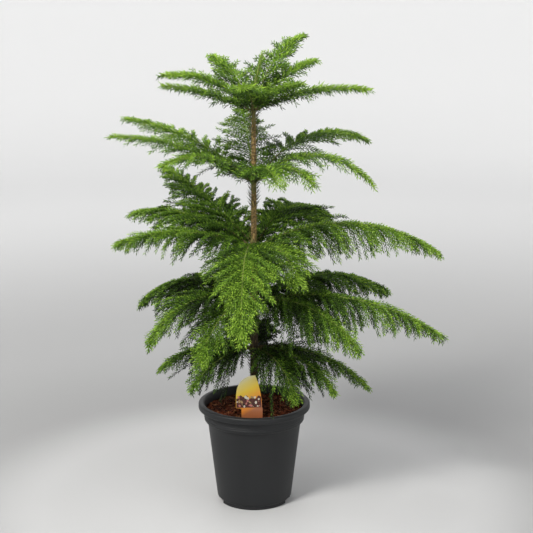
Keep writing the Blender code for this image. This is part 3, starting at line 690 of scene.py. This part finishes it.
def spray_tone(level, bough, share):
    """Which green a spray takes: newer towards the tips; lighter on upper whorls and on boughs facing the
    light, which is painted light.
    """
    growth = GROWTHS[level]
    facing = cos(radians(bough.azimuth - SUNNY_AZIMUTH))
    value = mix(growth.inner, growth.outer, share) + SUNNY_TONES * facing
    return value + rng.uniform(-SPRAY_TONES, SPRAY_TONES)


def resampled(axis, start, end, count):
    return np.array([at(axis, start + (end - start) * n / (count - 1))[0] for n in range(count)])


def backwards(bough):
    """How much a bough points to the back, from 0 to 1."""
    return max(0.0, sin(radians(bough.azimuth)))


def lift_of(forward, across):
    """The upward direction square to both."""
    lift = np.cross(forward, across)
    return lift if lift[2] > 0 else -lift


def frond_strands(level, bough):
    """The branchlets of a frond and the runs of its axis, as strands of needles."""
    whorl = WHORLS[level]
    growth = GROWTHS[level]
    axis = bough_axis(whorl, bough)
    sector = sector_of(whorl, bough)
    strands = []
    first = FIRST_BRANCHLET / bough.length
    back = backwards(bough)
    needle = growth.needle * (1 - BACK_NEEDLES * back)
    needles = (needle * SHORT, needle)
    thin = growth.thin * (1 - BACK_THIN * back)
    width = growth.width * (1 + BACK_WIDTH * back)
    count = int((1 - first) * bough.length / (growth.spacing * (1 - BACK_SPACING * back)) * 2)
    for step in range(count):
        share = (step + 0.5) / (count + 0.5)
        root, forward = at(axis, mix(first, 1, share))
        across = sideways(forward, bough) * (1 if step % 2 else -1)
        angle = mix(BRANCHLET_ANGLE_BASE, BRANCHLET_ANGLE_TIP, share)
        angle += rng.uniform(-ANGLE_SPREAD, ANGLE_SPREAD)
        longest = whorl.branchlet * branchlet_share(share) * rng.uniform(*LENGTH_SPREAD)
        lift = lift_of(forward, across)
        across = unit(across + lift * rng.uniform(*LIFT_SPREAD))
        tone = spray_tone(level, bough, share)
        for depth, (least, most, until, length) in enumerate(LAYERS[level]):
            if share > until:
                continue
            hang = bough.hang * rng.uniform(least, most)
            steepness = angle - LAYER_ANGLE * depth
            for shorter in SHORTER:
                reach = longest * LONGER * length * shorter
                path = branchlet_path(root, forward, across, steepness, reach, hang)
                if inside_sector(path, bough, sector) and clear_of_pot(path):
                    # each deeper layer is darker: painted shade
                    strands.append(Strand(path, lift, needles, width, thin, growth.spread, None, TWIG_RADII,
                                          tone - LAYER_SHADE * depth, 1.0))
                    break
    return strands + axis_strands(level, bough, axis)


def axis_strands(level, bough, axis):
    """The needles on the bough itself, in runs whose greens get newer."""
    whorl = WHORLS[level]
    growth = GROWTHS[level]
    start = whorl.bare / bough.length
    reach = 1 - TIP_NEEDLES / bough.length - start
    length = growth.axis_needle * (1 - BACK_NEEDLES * backwards(bough))
    strands = []
    for run in range(AXIS_RUNS):
        begin = start + reach * run / AXIS_RUNS
        end = start + reach * (run + 1) / AXIS_RUNS
        points = resampled(axis, begin, end, POINTS)
        forward = unit(points[-1] - points[0])
        lift = lift_of(forward, sideways(forward, bough))
        last = run == AXIS_RUNS - 1
        gap = min(growth.axis_gap, TIP_GAP) if last else growth.axis_gap
        strands.append(Strand(
            points, lift, (length, length * (SHORT if last else 1.0)), growth.width, 1.0,
            growth.axis_spread, gap, (stem_radius(whorl, begin), stem_radius(whorl, end)),
            spray_tone(level, bough, (run + 0.5) / AXIS_RUNS), float(last)))
    return strands


def needle_arrays(strands, spacing=1.0, bend_share=NEEDLE_BEND):
    """Vertices, triangles and material numbers of the needles on some strands.

    A needle has four corners: its root, its tip and two where it is widest and bends forward.
    """
    points = np.array([strand.points for strand in strands])
    lengths = np.linalg.norm(np.diff(points, axis=1), axis=2).sum(axis=1)
    spacings = np.array([strand.gap or spacing * strand.thin for strand in strands])
    counts = np.maximum((lengths / spacings).astype(int), FEWEST_NEEDLES)
    which = np.repeat(np.arange(len(strands)), counts)

    def each(field):
        """The field of each needle's strand."""
        return np.array([getattr(strand, field) for strand in strands])[which]

    number = np.arange(counts.sum()) - np.repeat(np.cumsum(counts) - counts, counts)
    share = (number + rng.uniform(*NEEDLE_PLACES, len(number))) / counts[which]
    place = share * (POINTS - 1)
    run = np.minimum(place.astype(int), POINTS - 2)
    near, far = points[which, run], points[which, run + 1]
    center = mix(near, far, (place - run)[:, None])
    along = unit(far - near)
    side = unit(np.cross(along, each("lift")))
    top = np.cross(side, along)
    turn = number * GOLDEN_TURN + which * STRAND_TURN + rng.uniform(-NEEDLE_TURN, NEEDLE_TURN, len(number))
    radial = side * np.cos(turn)[:, None] + top * np.sin(turn)[:, None]

    length = mix(*each("needle").T, np.minimum(share * 3, 1))
    length = (length * rng.uniform(*NEEDLE_LENGTHS, len(length)))[:, None]
    closing = np.clip((share - CLOSING_FROM) / (1 - CLOSING_FROM), 0, 1)
    spread = np.radians(each("spread")) * rng.uniform(*NEEDLE_SPREADS, len(share)) * (1 - CLOSING * closing)
    spread = spread[:, None]
    inner = spread * BENT_SPREAD
    radius = mix(*each("radii").T, share)[:, None]

    root = center + radial * radius * NEEDLE_SUNK
    bend = root + (along * np.cos(spread) + radial * np.sin(spread)) * length * bend_share
    tip = bend + (along * np.cos(inner) + radial * np.sin(inner)) * length * (1 - bend_share)
    roll = rng.uniform(-NEEDLE_ROLL, NEEDLE_ROLL, len(share))[:, None]
    flat = np.cross(along, radial)
    width = flat * np.cos(roll) + np.cross(unit(bend - root), flat) * np.sin(roll)
    width = width * each("width")[:, None] / 2
    vertices = np.stack((root, bend + width, bend - width, tip), axis=1).reshape(-1, 3)
    pattern = np.array(((0, 1, 2), (3, 2, 1), (0, 3, 1), (0, 2, 3)))
    faces = (pattern[None] + 4 * np.arange(len(root))[:, None, None]).reshape(-1, 3)
    tones = each("tone") + each("fresh") * np.clip(share * 2 - 1, 0, 1)
    # painted light on a spray's upper needles and painted shade on its lower ones
    tones = tones + PAINTED_TOP_LIGHT * np.sin(turn) + rng.uniform(-NEEDLE_TONES, NEEDLE_TONES, len(tones))
    return vertices, faces, np.repeat(green_of(tones), len(pattern))


def green_of(tones):
    """The nearest of the greens."""
    return np.clip(np.round(tones), 0, len(GREENS) - 1).astype(int)


def twigs(name, strands):
    """A piece of the thin branchlets under the needles."""
    parts, tones = [], []
    for strand in strands:
        points = strand.points[list(TWIG_SECTIONS)]
        parts.append(tube(points, np.linspace(*strand.radii, len(TWIG_SECTIONS)), TWIG_SIDES))
        tones.append(np.full(len(parts[-1][1]), green_of(strand.tone)))
    return mesh_object(name, *join(parts), GREENS, np.concatenate(tones))


def make_foliage():
    """The needles and branchlets of all fronds, joined whorl by whorl."""
    crown = [[frond_strands(level, bough) for bough in whorl.boughs] for level, whorl in enumerate(WHORLS)]
    total = sum(np.linalg.norm(np.diff(strand.points, axis=0), axis=1).sum()
                for fronds in crown for strands in fronds for strand in strands if strand.gap is None)
    for level, fronds in enumerate(crown):
        whorl = f"whorl_{level + 1}"
        names = [f"{whorl}_frond_{number + 1}" for number in range(len(fronds))]
        batch, nodes, triangles, piece = [], [], 0, 1
        for name, strands in zip(names, fronds):
            made = needle_arrays(strands, total / NEEDLE_COUNT)
            if batch and triangles + len(made[1]) > PIECE_TRIANGLES:
                needle_piece(f"{whorl}_needles_{piece}", batch, nodes)
                batch, nodes, triangles, piece = [], [], 0, piece + 1
            batch.append(made)
            nodes.append(name)
            triangles += len(made[1])
        needle_piece(f"{whorl}_needles_{piece}", batch, nodes)
        branchlets = [strand for strands in fronds for strand in strands if strand.gap is None]
        dressed(twigs(whorl + "_twigs", branchlets), "foliage", *names)


def needle_piece(name, batch, nodes):
    vertices, faces = join([(vertices, faces) for vertices, faces, _ in batch])
    tones = np.concatenate([tones for _, _, tones in batch])
    dressed(mesh_object(name, vertices, faces, GREENS, tones, smooth=False), "foliage", *nodes)


# ---- boughs, trunk and leader

def upright(heights):
    """Points on the Z axis."""
    return np.stack((np.zeros(len(heights)), np.zeros(len(heights)), heights), axis=1)


def make_boughs():
    """Each whorl's limbs, with cushions where needles stood."""
    for level, whorl in enumerate(WHORLS):
        parts, tones = [], []
        for bough in whorl.boughs:
            axis = bough_axis(whorl, bough)
            axis[0] -= root_direction(whorl, bough) * BOUGH_SINK
            rings = int(bough.length / BOUGH_RING_GAP)
            shares = np.linspace(0, 1, rings)
            collar = 1 + BOUGH_COLLAR * np.exp(-shares * bough.length / BOUGH_COLLAR_REACH)
            radii = stem_radius(whorl, shares) * collar
            vertices, faces = tube(resampled(axis, 0.0, 1.0, rings), radii, BOUGH_SIDES, BOUGH_RELIEF)
            parts.append((vertices, faces))
            middle = vertices[faces].mean(axis=1)
            out = np.linalg.norm(middle - axis[0], axis=1) / bough.length
            tones.append((out > GREEN_FROM + 0.08 * np.sin(40 * middle[:, 0])).astype(int))
        boughs = mesh_object(f"whorl_{level + 1}_boughs", *join(parts),
                             (BOUGH_BROWN, BOUGH_GREEN), np.concatenate(tones))
        limbs = [f"whorl_{level + 1}_bough_{number + 1}" for number in range(len(whorl.boughs))]
        dressed(boughs, "bough_bark", *[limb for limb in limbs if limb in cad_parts])


def make_trunk():
    """The trunk, with cushions where needles stood."""
    heights = np.linspace(SOIL_TOP - 0.004, TRUNK_TOP, TRUNK_RINGS)
    radii = trunk_radius(np.maximum(heights, SOIL_TOP))
    vertices, faces = tube(upright(heights), radii, TRUNK_SIDES, TRUNK_RELIEF)
    middle = vertices[faces].mean(axis=1)
    wave = 0.006 * np.sin(3 * np.arctan2(middle[:, 1], middle[:, 0]))
    bark = np.zeros(len(faces), int)
    for whorl in WHORLS[:3]:
        bark |= np.abs(middle[:, 2] - whorl.height + 0.004 + wave) < GREEN_BARK_REACH
    bark |= middle[:, 2] > TRUNK_TOP - GREEN_BARK_REACH
    # painted shade: the lowest bark takes the darkest material
    bark[middle[:, 2] < SHADED_BARK_TOP + 2 * wave] = 2
    trunk = mesh_object("trunk_bark", vertices, faces, (TRUNK_BARK, TRUNK_GREEN, TRUNK_SHADE), bark)
    dressed(trunk, "trunk_bark", "trunk")


def make_trunk_needles():
    """Old needles on the trunk: tan between the whorls, greener under them."""
    strands = []
    stations = [SOIL_TOP + 0.03] + [whorl.height for whorl in reversed(WHORLS)]
    for low, high in zip(stations, stations[1:]):
        for tone, begin, end, length, gap in (
                (0, low, high - 0.03, 0.009, 0.0011), (1, high - 0.055, high, 0.015, 0.0007)):
            radii = (float(trunk_radius(begin)) * 1.6, float(trunk_radius(end)) * 1.6)
            strands.append(Strand(upright(np.linspace(begin, end, POINTS)), BACK, (length, length),
                                  TRUNK_NEEDLE_WIDTH, 1.0, 60, gap, radii, tone, 0.0))
    vertices, faces, tones = needle_arrays(strands, bend_share=STUB_BEND)
    needles = mesh_object("trunk_needles", vertices, faces, (NEEDLE_TAN, NEEDLE_OLIVE),
                          np.minimum(tones, 1), smooth=False)
    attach(needles, "root")


def make_leader():
    """The green top shoot, full of needles."""
    shares = np.linspace(0, 1, 2 * POINTS - 1)
    points = upright(TRUNK_TOP + LEADER_HEIGHT * shares)
    points[:, 0] = LEADER_LEAN * shares ** 1.5
    radii = LEADER_RADIUS * (1 - 0.6 * shares)
    fine = np.linspace(0, 1, LEADER_RINGS)
    shoot = tube(np.array([at(points, share)[0] for share in fine]), np.interp(fine, shares, radii),
                 LEADER_SIDES, LEADER_RELIEF)
    dressed(mesh_object("leader_shoot", *shoot, (BOUGH_GREEN,)), "young_foliage", "leader")
    half = POINTS - 1
    strands = [
        Strand(points[begin:end + 1], BACK, (LEADER_NEEDLE_LENGTH, LEADER_NEEDLE_LENGTH * last),
               LEADER_NEEDLE_WIDTH, 1.0, spread, LEADER_NEEDLE_GAP, (radii[begin], radii[end]), tone, 1.0)
        for begin, end, last, spread, tone in ((0, half, 1.0, 52, 3.0), (half, 2 * half, 0.75, 44, 5.0))]
    vertices, faces, tones = needle_arrays(strands)
    dressed(mesh_object("leader_needles", vertices, faces, GREENS, tones, smooth=False),
            "young_foliage", "leader")


# ---- pot, soil and label

def turned(profile, steps):
    """Vertices and quads of a profile of (radius, height) turned round Z."""
    turns = np.arange(steps) * tau / steps
    profile = np.array(profile)
    vertices = np.stack((profile[:, :1] * np.cos(turns), profile[:, :1] * np.sin(turns),
                         np.repeat(profile[:, 1:], steps, axis=1)), axis=-1).reshape(-1, 3)
    first = np.arange((len(profile) - 1) * steps).reshape(-1, steps)
    after = np.roll(first, -1, axis=1)
    return vertices, np.stack((first, first + steps, after + steps, after), axis=-1).reshape(-1, 4)


def arc(center, radius, begin, end, steps):
    """Points of (radius, height) on an arc between two angles in degrees."""
    angles = [radians(begin + (end - begin) * n / steps) for n in range(steps + 1)]
    return [(center[0] + radius * cos(a), center[1] + radius * sin(a)) for a in angles]


def hollow(inset):
    """The corners of the pot's inside, this far in from its outside."""
    corners = ((COLLAR_RADIUS, COLLAR_FOOT + STEP_HEIGHT), (BODY_TOP_RADIUS, COLLAR_FOOT - STEP_HEIGHT),
               (BODY_FOOT_RADIUS, FOOT_HEIGHT + STEP_HEIGHT), (FOOT_RADIUS, FOOT_HEIGHT))
    return [(radius - inset, height) for radius, height in corners]


def make_pot():
    """The nursery pot, with a rolled lip, two fine beads on its collar, and drains."""
    lip_foot = POT_HEIGHT - LIP_HEIGHT
    step_foot = COLLAR_FOOT - STEP_HEIGHT
    wall = [(mix(BODY_FOOT_RADIUS, BODY_TOP_RADIUS, share), mix(FOOT_HEIGHT, step_foot, share))
            for share in np.linspace(0.02, 0.985, 9)]
    beads = [(COLLAR_RADIUS + out, COLLAR_FOOT + height + up) for height in BEAD_HEIGHTS
             for out, up in ((0, -BEAD_REACH), (BEAD, 0), (0, BEAD_REACH))]
    profile = [
        (AXIS_HOLE, 0.0),
        (FOOT_RADIUS - FOOT_ROUND, 0.0),
        *arc((FOOT_RADIUS - FOOT_ROUND, FOOT_ROUND), FOOT_ROUND, -90, 0, 4),
        (FOOT_RADIUS, FOOT_HEIGHT - STEP_HEIGHT),
        (BODY_FOOT_RADIUS - 0.001, FOOT_HEIGHT - STEP_EASE),
        (BODY_FOOT_RADIUS, FOOT_HEIGHT + 0.0004),
        *wall,
        (BODY_TOP_RADIUS + STEP_EASE, step_foot),
        (COLLAR_RADIUS - 0.0012, COLLAR_FOOT - STEP_EASE),
        *arc((COLLAR_RADIUS - 0.001, COLLAR_FOOT + 0.0008), 0.001, -60, 0, 3),
        *beads,
        (COLLAR_RADIUS, lip_foot - STEP_HEIGHT / 2),
        (RIM_RADIUS - LIP_ROUND, lip_foot + 0.0004),
        *arc((RIM_RADIUS - LIP_ROUND, lip_foot + 0.0004 + LIP_ROUND), LIP_ROUND, -90, 0, 5),
        *arc((RIM_RADIUS - LIP_CROWN, POT_HEIGHT - LIP_CROWN), LIP_CROWN, 0, 90, 7),
        *arc((COLLAR_RADIUS + MOUTH_ROUND, POT_HEIGHT - MOUTH_ROUND), MOUTH_ROUND, 90, 160, 5),
        (COLLAR_RADIUS - WALL, POT_HEIGHT - 0.008),
        *hollow(WALL),
        (FOOT_RADIUS - WALL, FLOOR),
        (AXIS_HOLE, FLOOR),
    ]
    vertices, quads = turned(profile, POT_STEPS)
    pot = mesh_object("pot_shell", vertices, quads[:, ::-1], (POT_PLASTIC,))
    weld(pot.data, AXIS_WELD)
    for degrees in (DRAIN_TURN, 180 - DRAIN_TURN, 180 + DRAIN_TURN, -DRAIN_TURN):
        cut_drain(pot, radians(degrees))
    pot.data.set_sharp_from_angle(angle=radians(38))
    dressed(pot, "pot_plastic", "pot")


def cut_drain(pot, turn):
    """Cuts one drain, rounded at its top, through the foot ring."""
    bpy.ops.mesh.primitive_cube_add(size=1.0)
    cutter = bpy.context.object
    cutter.scale = (2 * DRAIN_REACH, DRAIN_WIDTH, 2 * DRAIN_HEIGHT)
    cutter.location = (FOOT_RADIUS * cos(turn), FOOT_RADIUS * sin(turn), 0.0)
    cutter.rotation_euler = (0.0, 0.0, turn)
    rounding = cutter.modifiers.new("round", "BEVEL")
    rounding.width = 0.0025
    rounding.segments = 3
    boolean = pot.modifiers.new("drain", "BOOLEAN")
    boolean.operation = "DIFFERENCE"
    boolean.solver = "EXACT"
    boolean.object = cutter
    pot.data = evaluated_mesh(pot)
    pot.modifiers.clear()
    bpy.data.objects.remove(cutter, do_unlink=True)


def soil_height(x, y):
    """The mix's lumpy surface, which sinks towards the wall."""
    beyond = hypot(x, y) - (COLLAR_RADIUS - WALL) + 0.02
    sunk = (SOIL_TOP - SOIL_EDGE) * min(1.0, max(0.0, beyond / 0.02)) ** 1.5
    lumps = 0.0026 * height_noise((x * 70, y * 70, 1.7))
    crumbs = 0.0016 * height_noise((x * 240, y * 240, 5.1))
    return SOIL_TOP - sunk + lumps + crumbs


def make_soil():
    """The potting mix as one closed body with a lumpy top."""
    inset = WALL + SOIL_GAP
    top = [AXIS_HOLE, *np.linspace(0.002, COLLAR_RADIUS - inset, 60)]
    profile = [(radius, SOIL_TOP) for radius in top] + hollow(inset)
    profile += [(FOOT_RADIUS - inset, FLOOR + SOIL_LIFT), (AXIS_HOLE, FLOOR + SOIL_LIFT)]
    vertices, quads = turned(profile, SOIL_STEPS)
    for index in range(len(top) * SOIL_STEPS):
        x, y, _ = vertices[index]
        vertices[index][2] = soil_height(x, y)
    soil = mesh_object("soil_body", vertices, quads, (SOIL_MIX,))
    weld(soil.data, AXIS_WELD)
    dressed(soil, "potting_mix", "soil")


def make_chips():
    """Bark chips that lie half sunk in the mix."""
    chances = random.Random(7)
    parts, tones = [], []
    block = np.array([(x, y, z) for x in (-1, 1) for y in (-1, 1) for z in (-1, 1)], float)
    sides = np.array(((0, 1, 3, 2), (4, 6, 7, 5), (0, 4, 5, 1), (2, 3, 7, 6), (0, 2, 6, 4), (1, 5, 7, 3)))
    for _ in range(CHIP_COUNT):
        reach = (COLLAR_RADIUS - WALL - CHIP_EDGE) * sqrt(chances.random())
        turn = chances.uniform(0, tau)
        x, y = reach * cos(turn), reach * sin(turn)
        if reach < float(trunk_radius(SOIL_TOP)) + 0.002:
            continue
        size = chances.choice(CHIP_SIZES)
        half = np.array((size * chances.uniform(0.8, 2.2), size * chances.uniform(0.5, 1.0),
                         size * chances.uniform(0.25, 0.55)))
        corners = block * half * (1 + 0.35 * np.array([[chances.uniform(-1, 1) for _ in range(3)]
                                                       for _ in range(8)]))
        tilt = Matrix.Rotation(chances.uniform(0, tau), 3, "Z") @ Matrix.Rotation(
            chances.uniform(-0.6, 0.6), 3, "Y") @ Matrix.Rotation(chances.uniform(-0.5, 0.5), 3, "X")
        height = soil_height(x, y) + size * 0.25
        parts.append((corners @ np.array(tilt).T + np.array((x, y, height)), sides))
        tones.append(np.full(6, chances.choice((0, 0, 1, 1, 1, 2))))
    chips = mesh_object("soil_chips", *join(parts), CHIP_MATERIALS, np.concatenate(tones), smooth=False)
    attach(chips, "root")


def label_outline(steps):
    """The label's outline: a straight stake under a leaf-shaped head with one point."""
    half_stake = LABEL_STAKE_WIDTH / 2
    rise = LABEL_HEIGHT - LABEL_HEAD
    shares = [sin(pi / 2 * step / steps) for step in range(steps + 1)]
    return [
        (-half_stake, -LABEL_DEPTH), (half_stake, -LABEL_DEPTH), (half_stake, LABEL_STAKE_HEIGHT),
        *[(LABEL_POINT + LABEL_RIGHT * (1 - share ** LABEL_RIGHT_POWER), LABEL_HEAD + rise * share)
          for share in shares],
        *[(LABEL_POINT - LABEL_LEFT * sqrt(1 - share ** LABEL_LEFT_POWER), LABEL_HEAD + rise * share)
          for share in reversed(shares[:-1])],
        (-half_stake, LABEL_STAKE_HEIGHT),
    ]


def flat_shape(name, outline, thickness, raised, material, bevel=0.0):
    """A thin plate with the outline, raised off the middle of the label."""
    curve = bpy.data.curves.new(name, "CURVE")
    curve.dimensions = "2D"
    curve.fill_mode = "BOTH"
    curve.extrude = thickness / 2
    curve.bevel_depth = bevel
    curve.bevel_resolution = 2
    spline = curve.splines.new("POLY")
    spline.points.add(len(outline) - 1)
    for point, corner in zip(spline.points, outline):
        point.co = (*corner, 0.0, 1.0)
    spline.use_cyclic_u = True
    guide = placed(name + "_guide", curve)
    mesh = evaluated_mesh(guide)
    bpy.data.objects.remove(guide, do_unlink=True)
    mesh.name = name
    weld(mesh, PLATE_WELD)
    mesh.materials.clear()
    mesh.materials.append(material)
    mesh.transform(Matrix.Translation((0.0, 0.0, raised)))
    plate = placed(name, mesh)
    plate.matrix_world = LABEL_FRAME
    return plate


def make_label():
    """The plant label, with a dark band of round spots at its head's foot."""
    card = flat_shape("label_face", label_outline(40), LABEL_THICKNESS - 0.0004, 0.0, LABEL_CARD, 0.0002)
    dressed(card, "label_card", "label")
    face = LABEL_THICKNESS / 2 + 0.00008
    foot = LABEL_HEAD + 0.0003
    left, right = LABEL_POINT - LABEL_LEFT + 0.0006, LABEL_POINT + LABEL_RIGHT - 0.0016
    band = [(left, foot), (right, foot)]
    for step in range(BAND_STEPS):
        share = step / (BAND_STEPS - 1)
        wave = BAND_WAVE * sin(3.1 + 9 * share) * cos(2.0 + 17 * share)
        band.append((mix(right, left, share), foot + BAND_HEIGHT + wave))
    add_print("label_band", band, face, LABEL_RED)
    chances = random.Random(3)
    for number in range(SPOT_COUNT):
        size = chances.uniform(*SPOT_SIZES)
        x = left + size + (right - left - 2 * size) * ((number * GOLDEN_SHARE) % 1)
        y = foot + size + chances.uniform(0.0, SPOT_REACH)
        turn, stretch = chances.uniform(0, pi), chances.uniform(0.45, 0.9)
        blob = []
        for corner in range(SPOT_CORNERS):
            angle = corner * tau / SPOT_CORNERS
            along, over = size * cos(angle), size * stretch * sin(angle)
            blob.append((x + along * cos(turn) - over * sin(turn),
                         y + along * sin(turn) + over * cos(turn)))
        add_print(f"label_spot_{number + 1}", blob, face + 0.00006 + 0.00001 * number,
                  LABEL_INKS[number % len(LABEL_INKS)])


def add_print(name, outline, raised, material):
    shape = flat_shape(name, outline, PRINT_THICKNESS, raised, material)
    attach(shape, "root")


# ---- stage, lights and camera

def make_stage():
    """A pale studio floor that curves up into a wall all round, with painted shade and a painted glow."""
    floor_radius, curve_radius, wall_height = 4.6, 1.6, 5.0
    profile = [(0.01, 0.0)] + [(radius, 0.0) for radius in np.linspace(0.5, floor_radius, 12)]
    profile += arc((floor_radius, curve_radius), curve_radius, -90, 0, 20)[1:]
    profile.append((floor_radius + curve_radius, wall_height))
    vertices, quads = turned(profile, STAGE_STEPS)
    material, shader = principled("studio_painted_light", (0.72, 0.72, 0.73), 0.9, Emission_Strength=1.0)
    share = measure(shader, "LENGTH", floor_radius + curve_radius)
    # Painted shade: the floor is lighter round the pot, darkens to a ring about 0.7 m out and lightens again
    # outwards. Painted light: beyond about 0.6 m the floor and the wall glow more and more.
    for socket, interpolation, shade_and_glow_greys in (
            ("Base Color", "EASE", ((0.02, 0.56), (0.072, 0.46), (0.115, 0.3), (0.2, 0.34),
                                    (0.58, 0.61), (0.9, 0.7))),
            ("Emission Color", "LINEAR", ((0.1, 0.0), (0.2, 0.06), (0.58, 0.24), (0.9, 0.34)))):
        paint(shader, share, [(place, (grey, grey, grey)) for place, grey in shade_and_glow_greys], socket, interpolation)
    vary_roughness(shader, noise(shader, 6.0, 3.0), 0.82, 0.95)
    floor = mesh_object("studio_floor", vertices, quads[:, ::-1], (material,))
    floor.location.z = -0.0002


def make_lights():
    """Four soft lights and a faint glow all round."""
    for name, place, target, size, power, color in (
            ("key", (-1.7, -2.2, 3.0), (0, 0, 0.5), (0.9, 0.9), 132, (1.0, 0.985, 0.95)),
            ("top", (0.2, -0.2, 3.4), (0, 0, 0), (1.8, 1.6), 45, (1.0, 1.0, 1.0)),
            ("fill", (2.6, -2.4, 1.8), (0, 0, 0.5), (1.4, 1.4), 18, (0.97, 0.985, 1.0)),
            ("back", (-0.6, 2.9, 2.8), (0, 0, 0.6), (2.0, 1.2), 25, (1.0, 1.0, 1.0))):
        light = bpy.data.lights.new(name, "AREA")
        light.shape = "RECTANGLE"
        light.size, light.size_y = size
        light.energy = power
        light.color = color
        lamp = placed(name, light)
        lamp.location = place
        lamp.rotation_euler = (Vector(target) - Vector(place)).to_track_quat("-Z", "Y").to_euler()
    world = bpy.data.worlds.new("studio_air")
    world.use_nodes = True
    set_inputs(world.node_tree.nodes["Background"], Color=(0.95, 0.97, 1.0, 1.0), Strength=0.17)
    bpy.context.scene.world = world


def make_camera():
    data = bpy.data.cameras.new("camera")
    data.lens = CAMERA_LENS
    data.sensor_width = SENSOR_WIDTH
    camera = placed("camera", data)
    camera.location = CAMERA_AT
    camera.rotation_euler = (radians(90) - CAMERA_PITCH, 0.0, 0.0)
    bpy.context.scene.camera = camera


make_pot()
make_soil()
make_chips()
make_label()
make_trunk()
make_trunk_needles()
make_leader()
make_boughs()
make_foliage()
make_stage()
make_lights()
make_camera()
bpy.context.scene.view_settings.view_transform = "Standard"
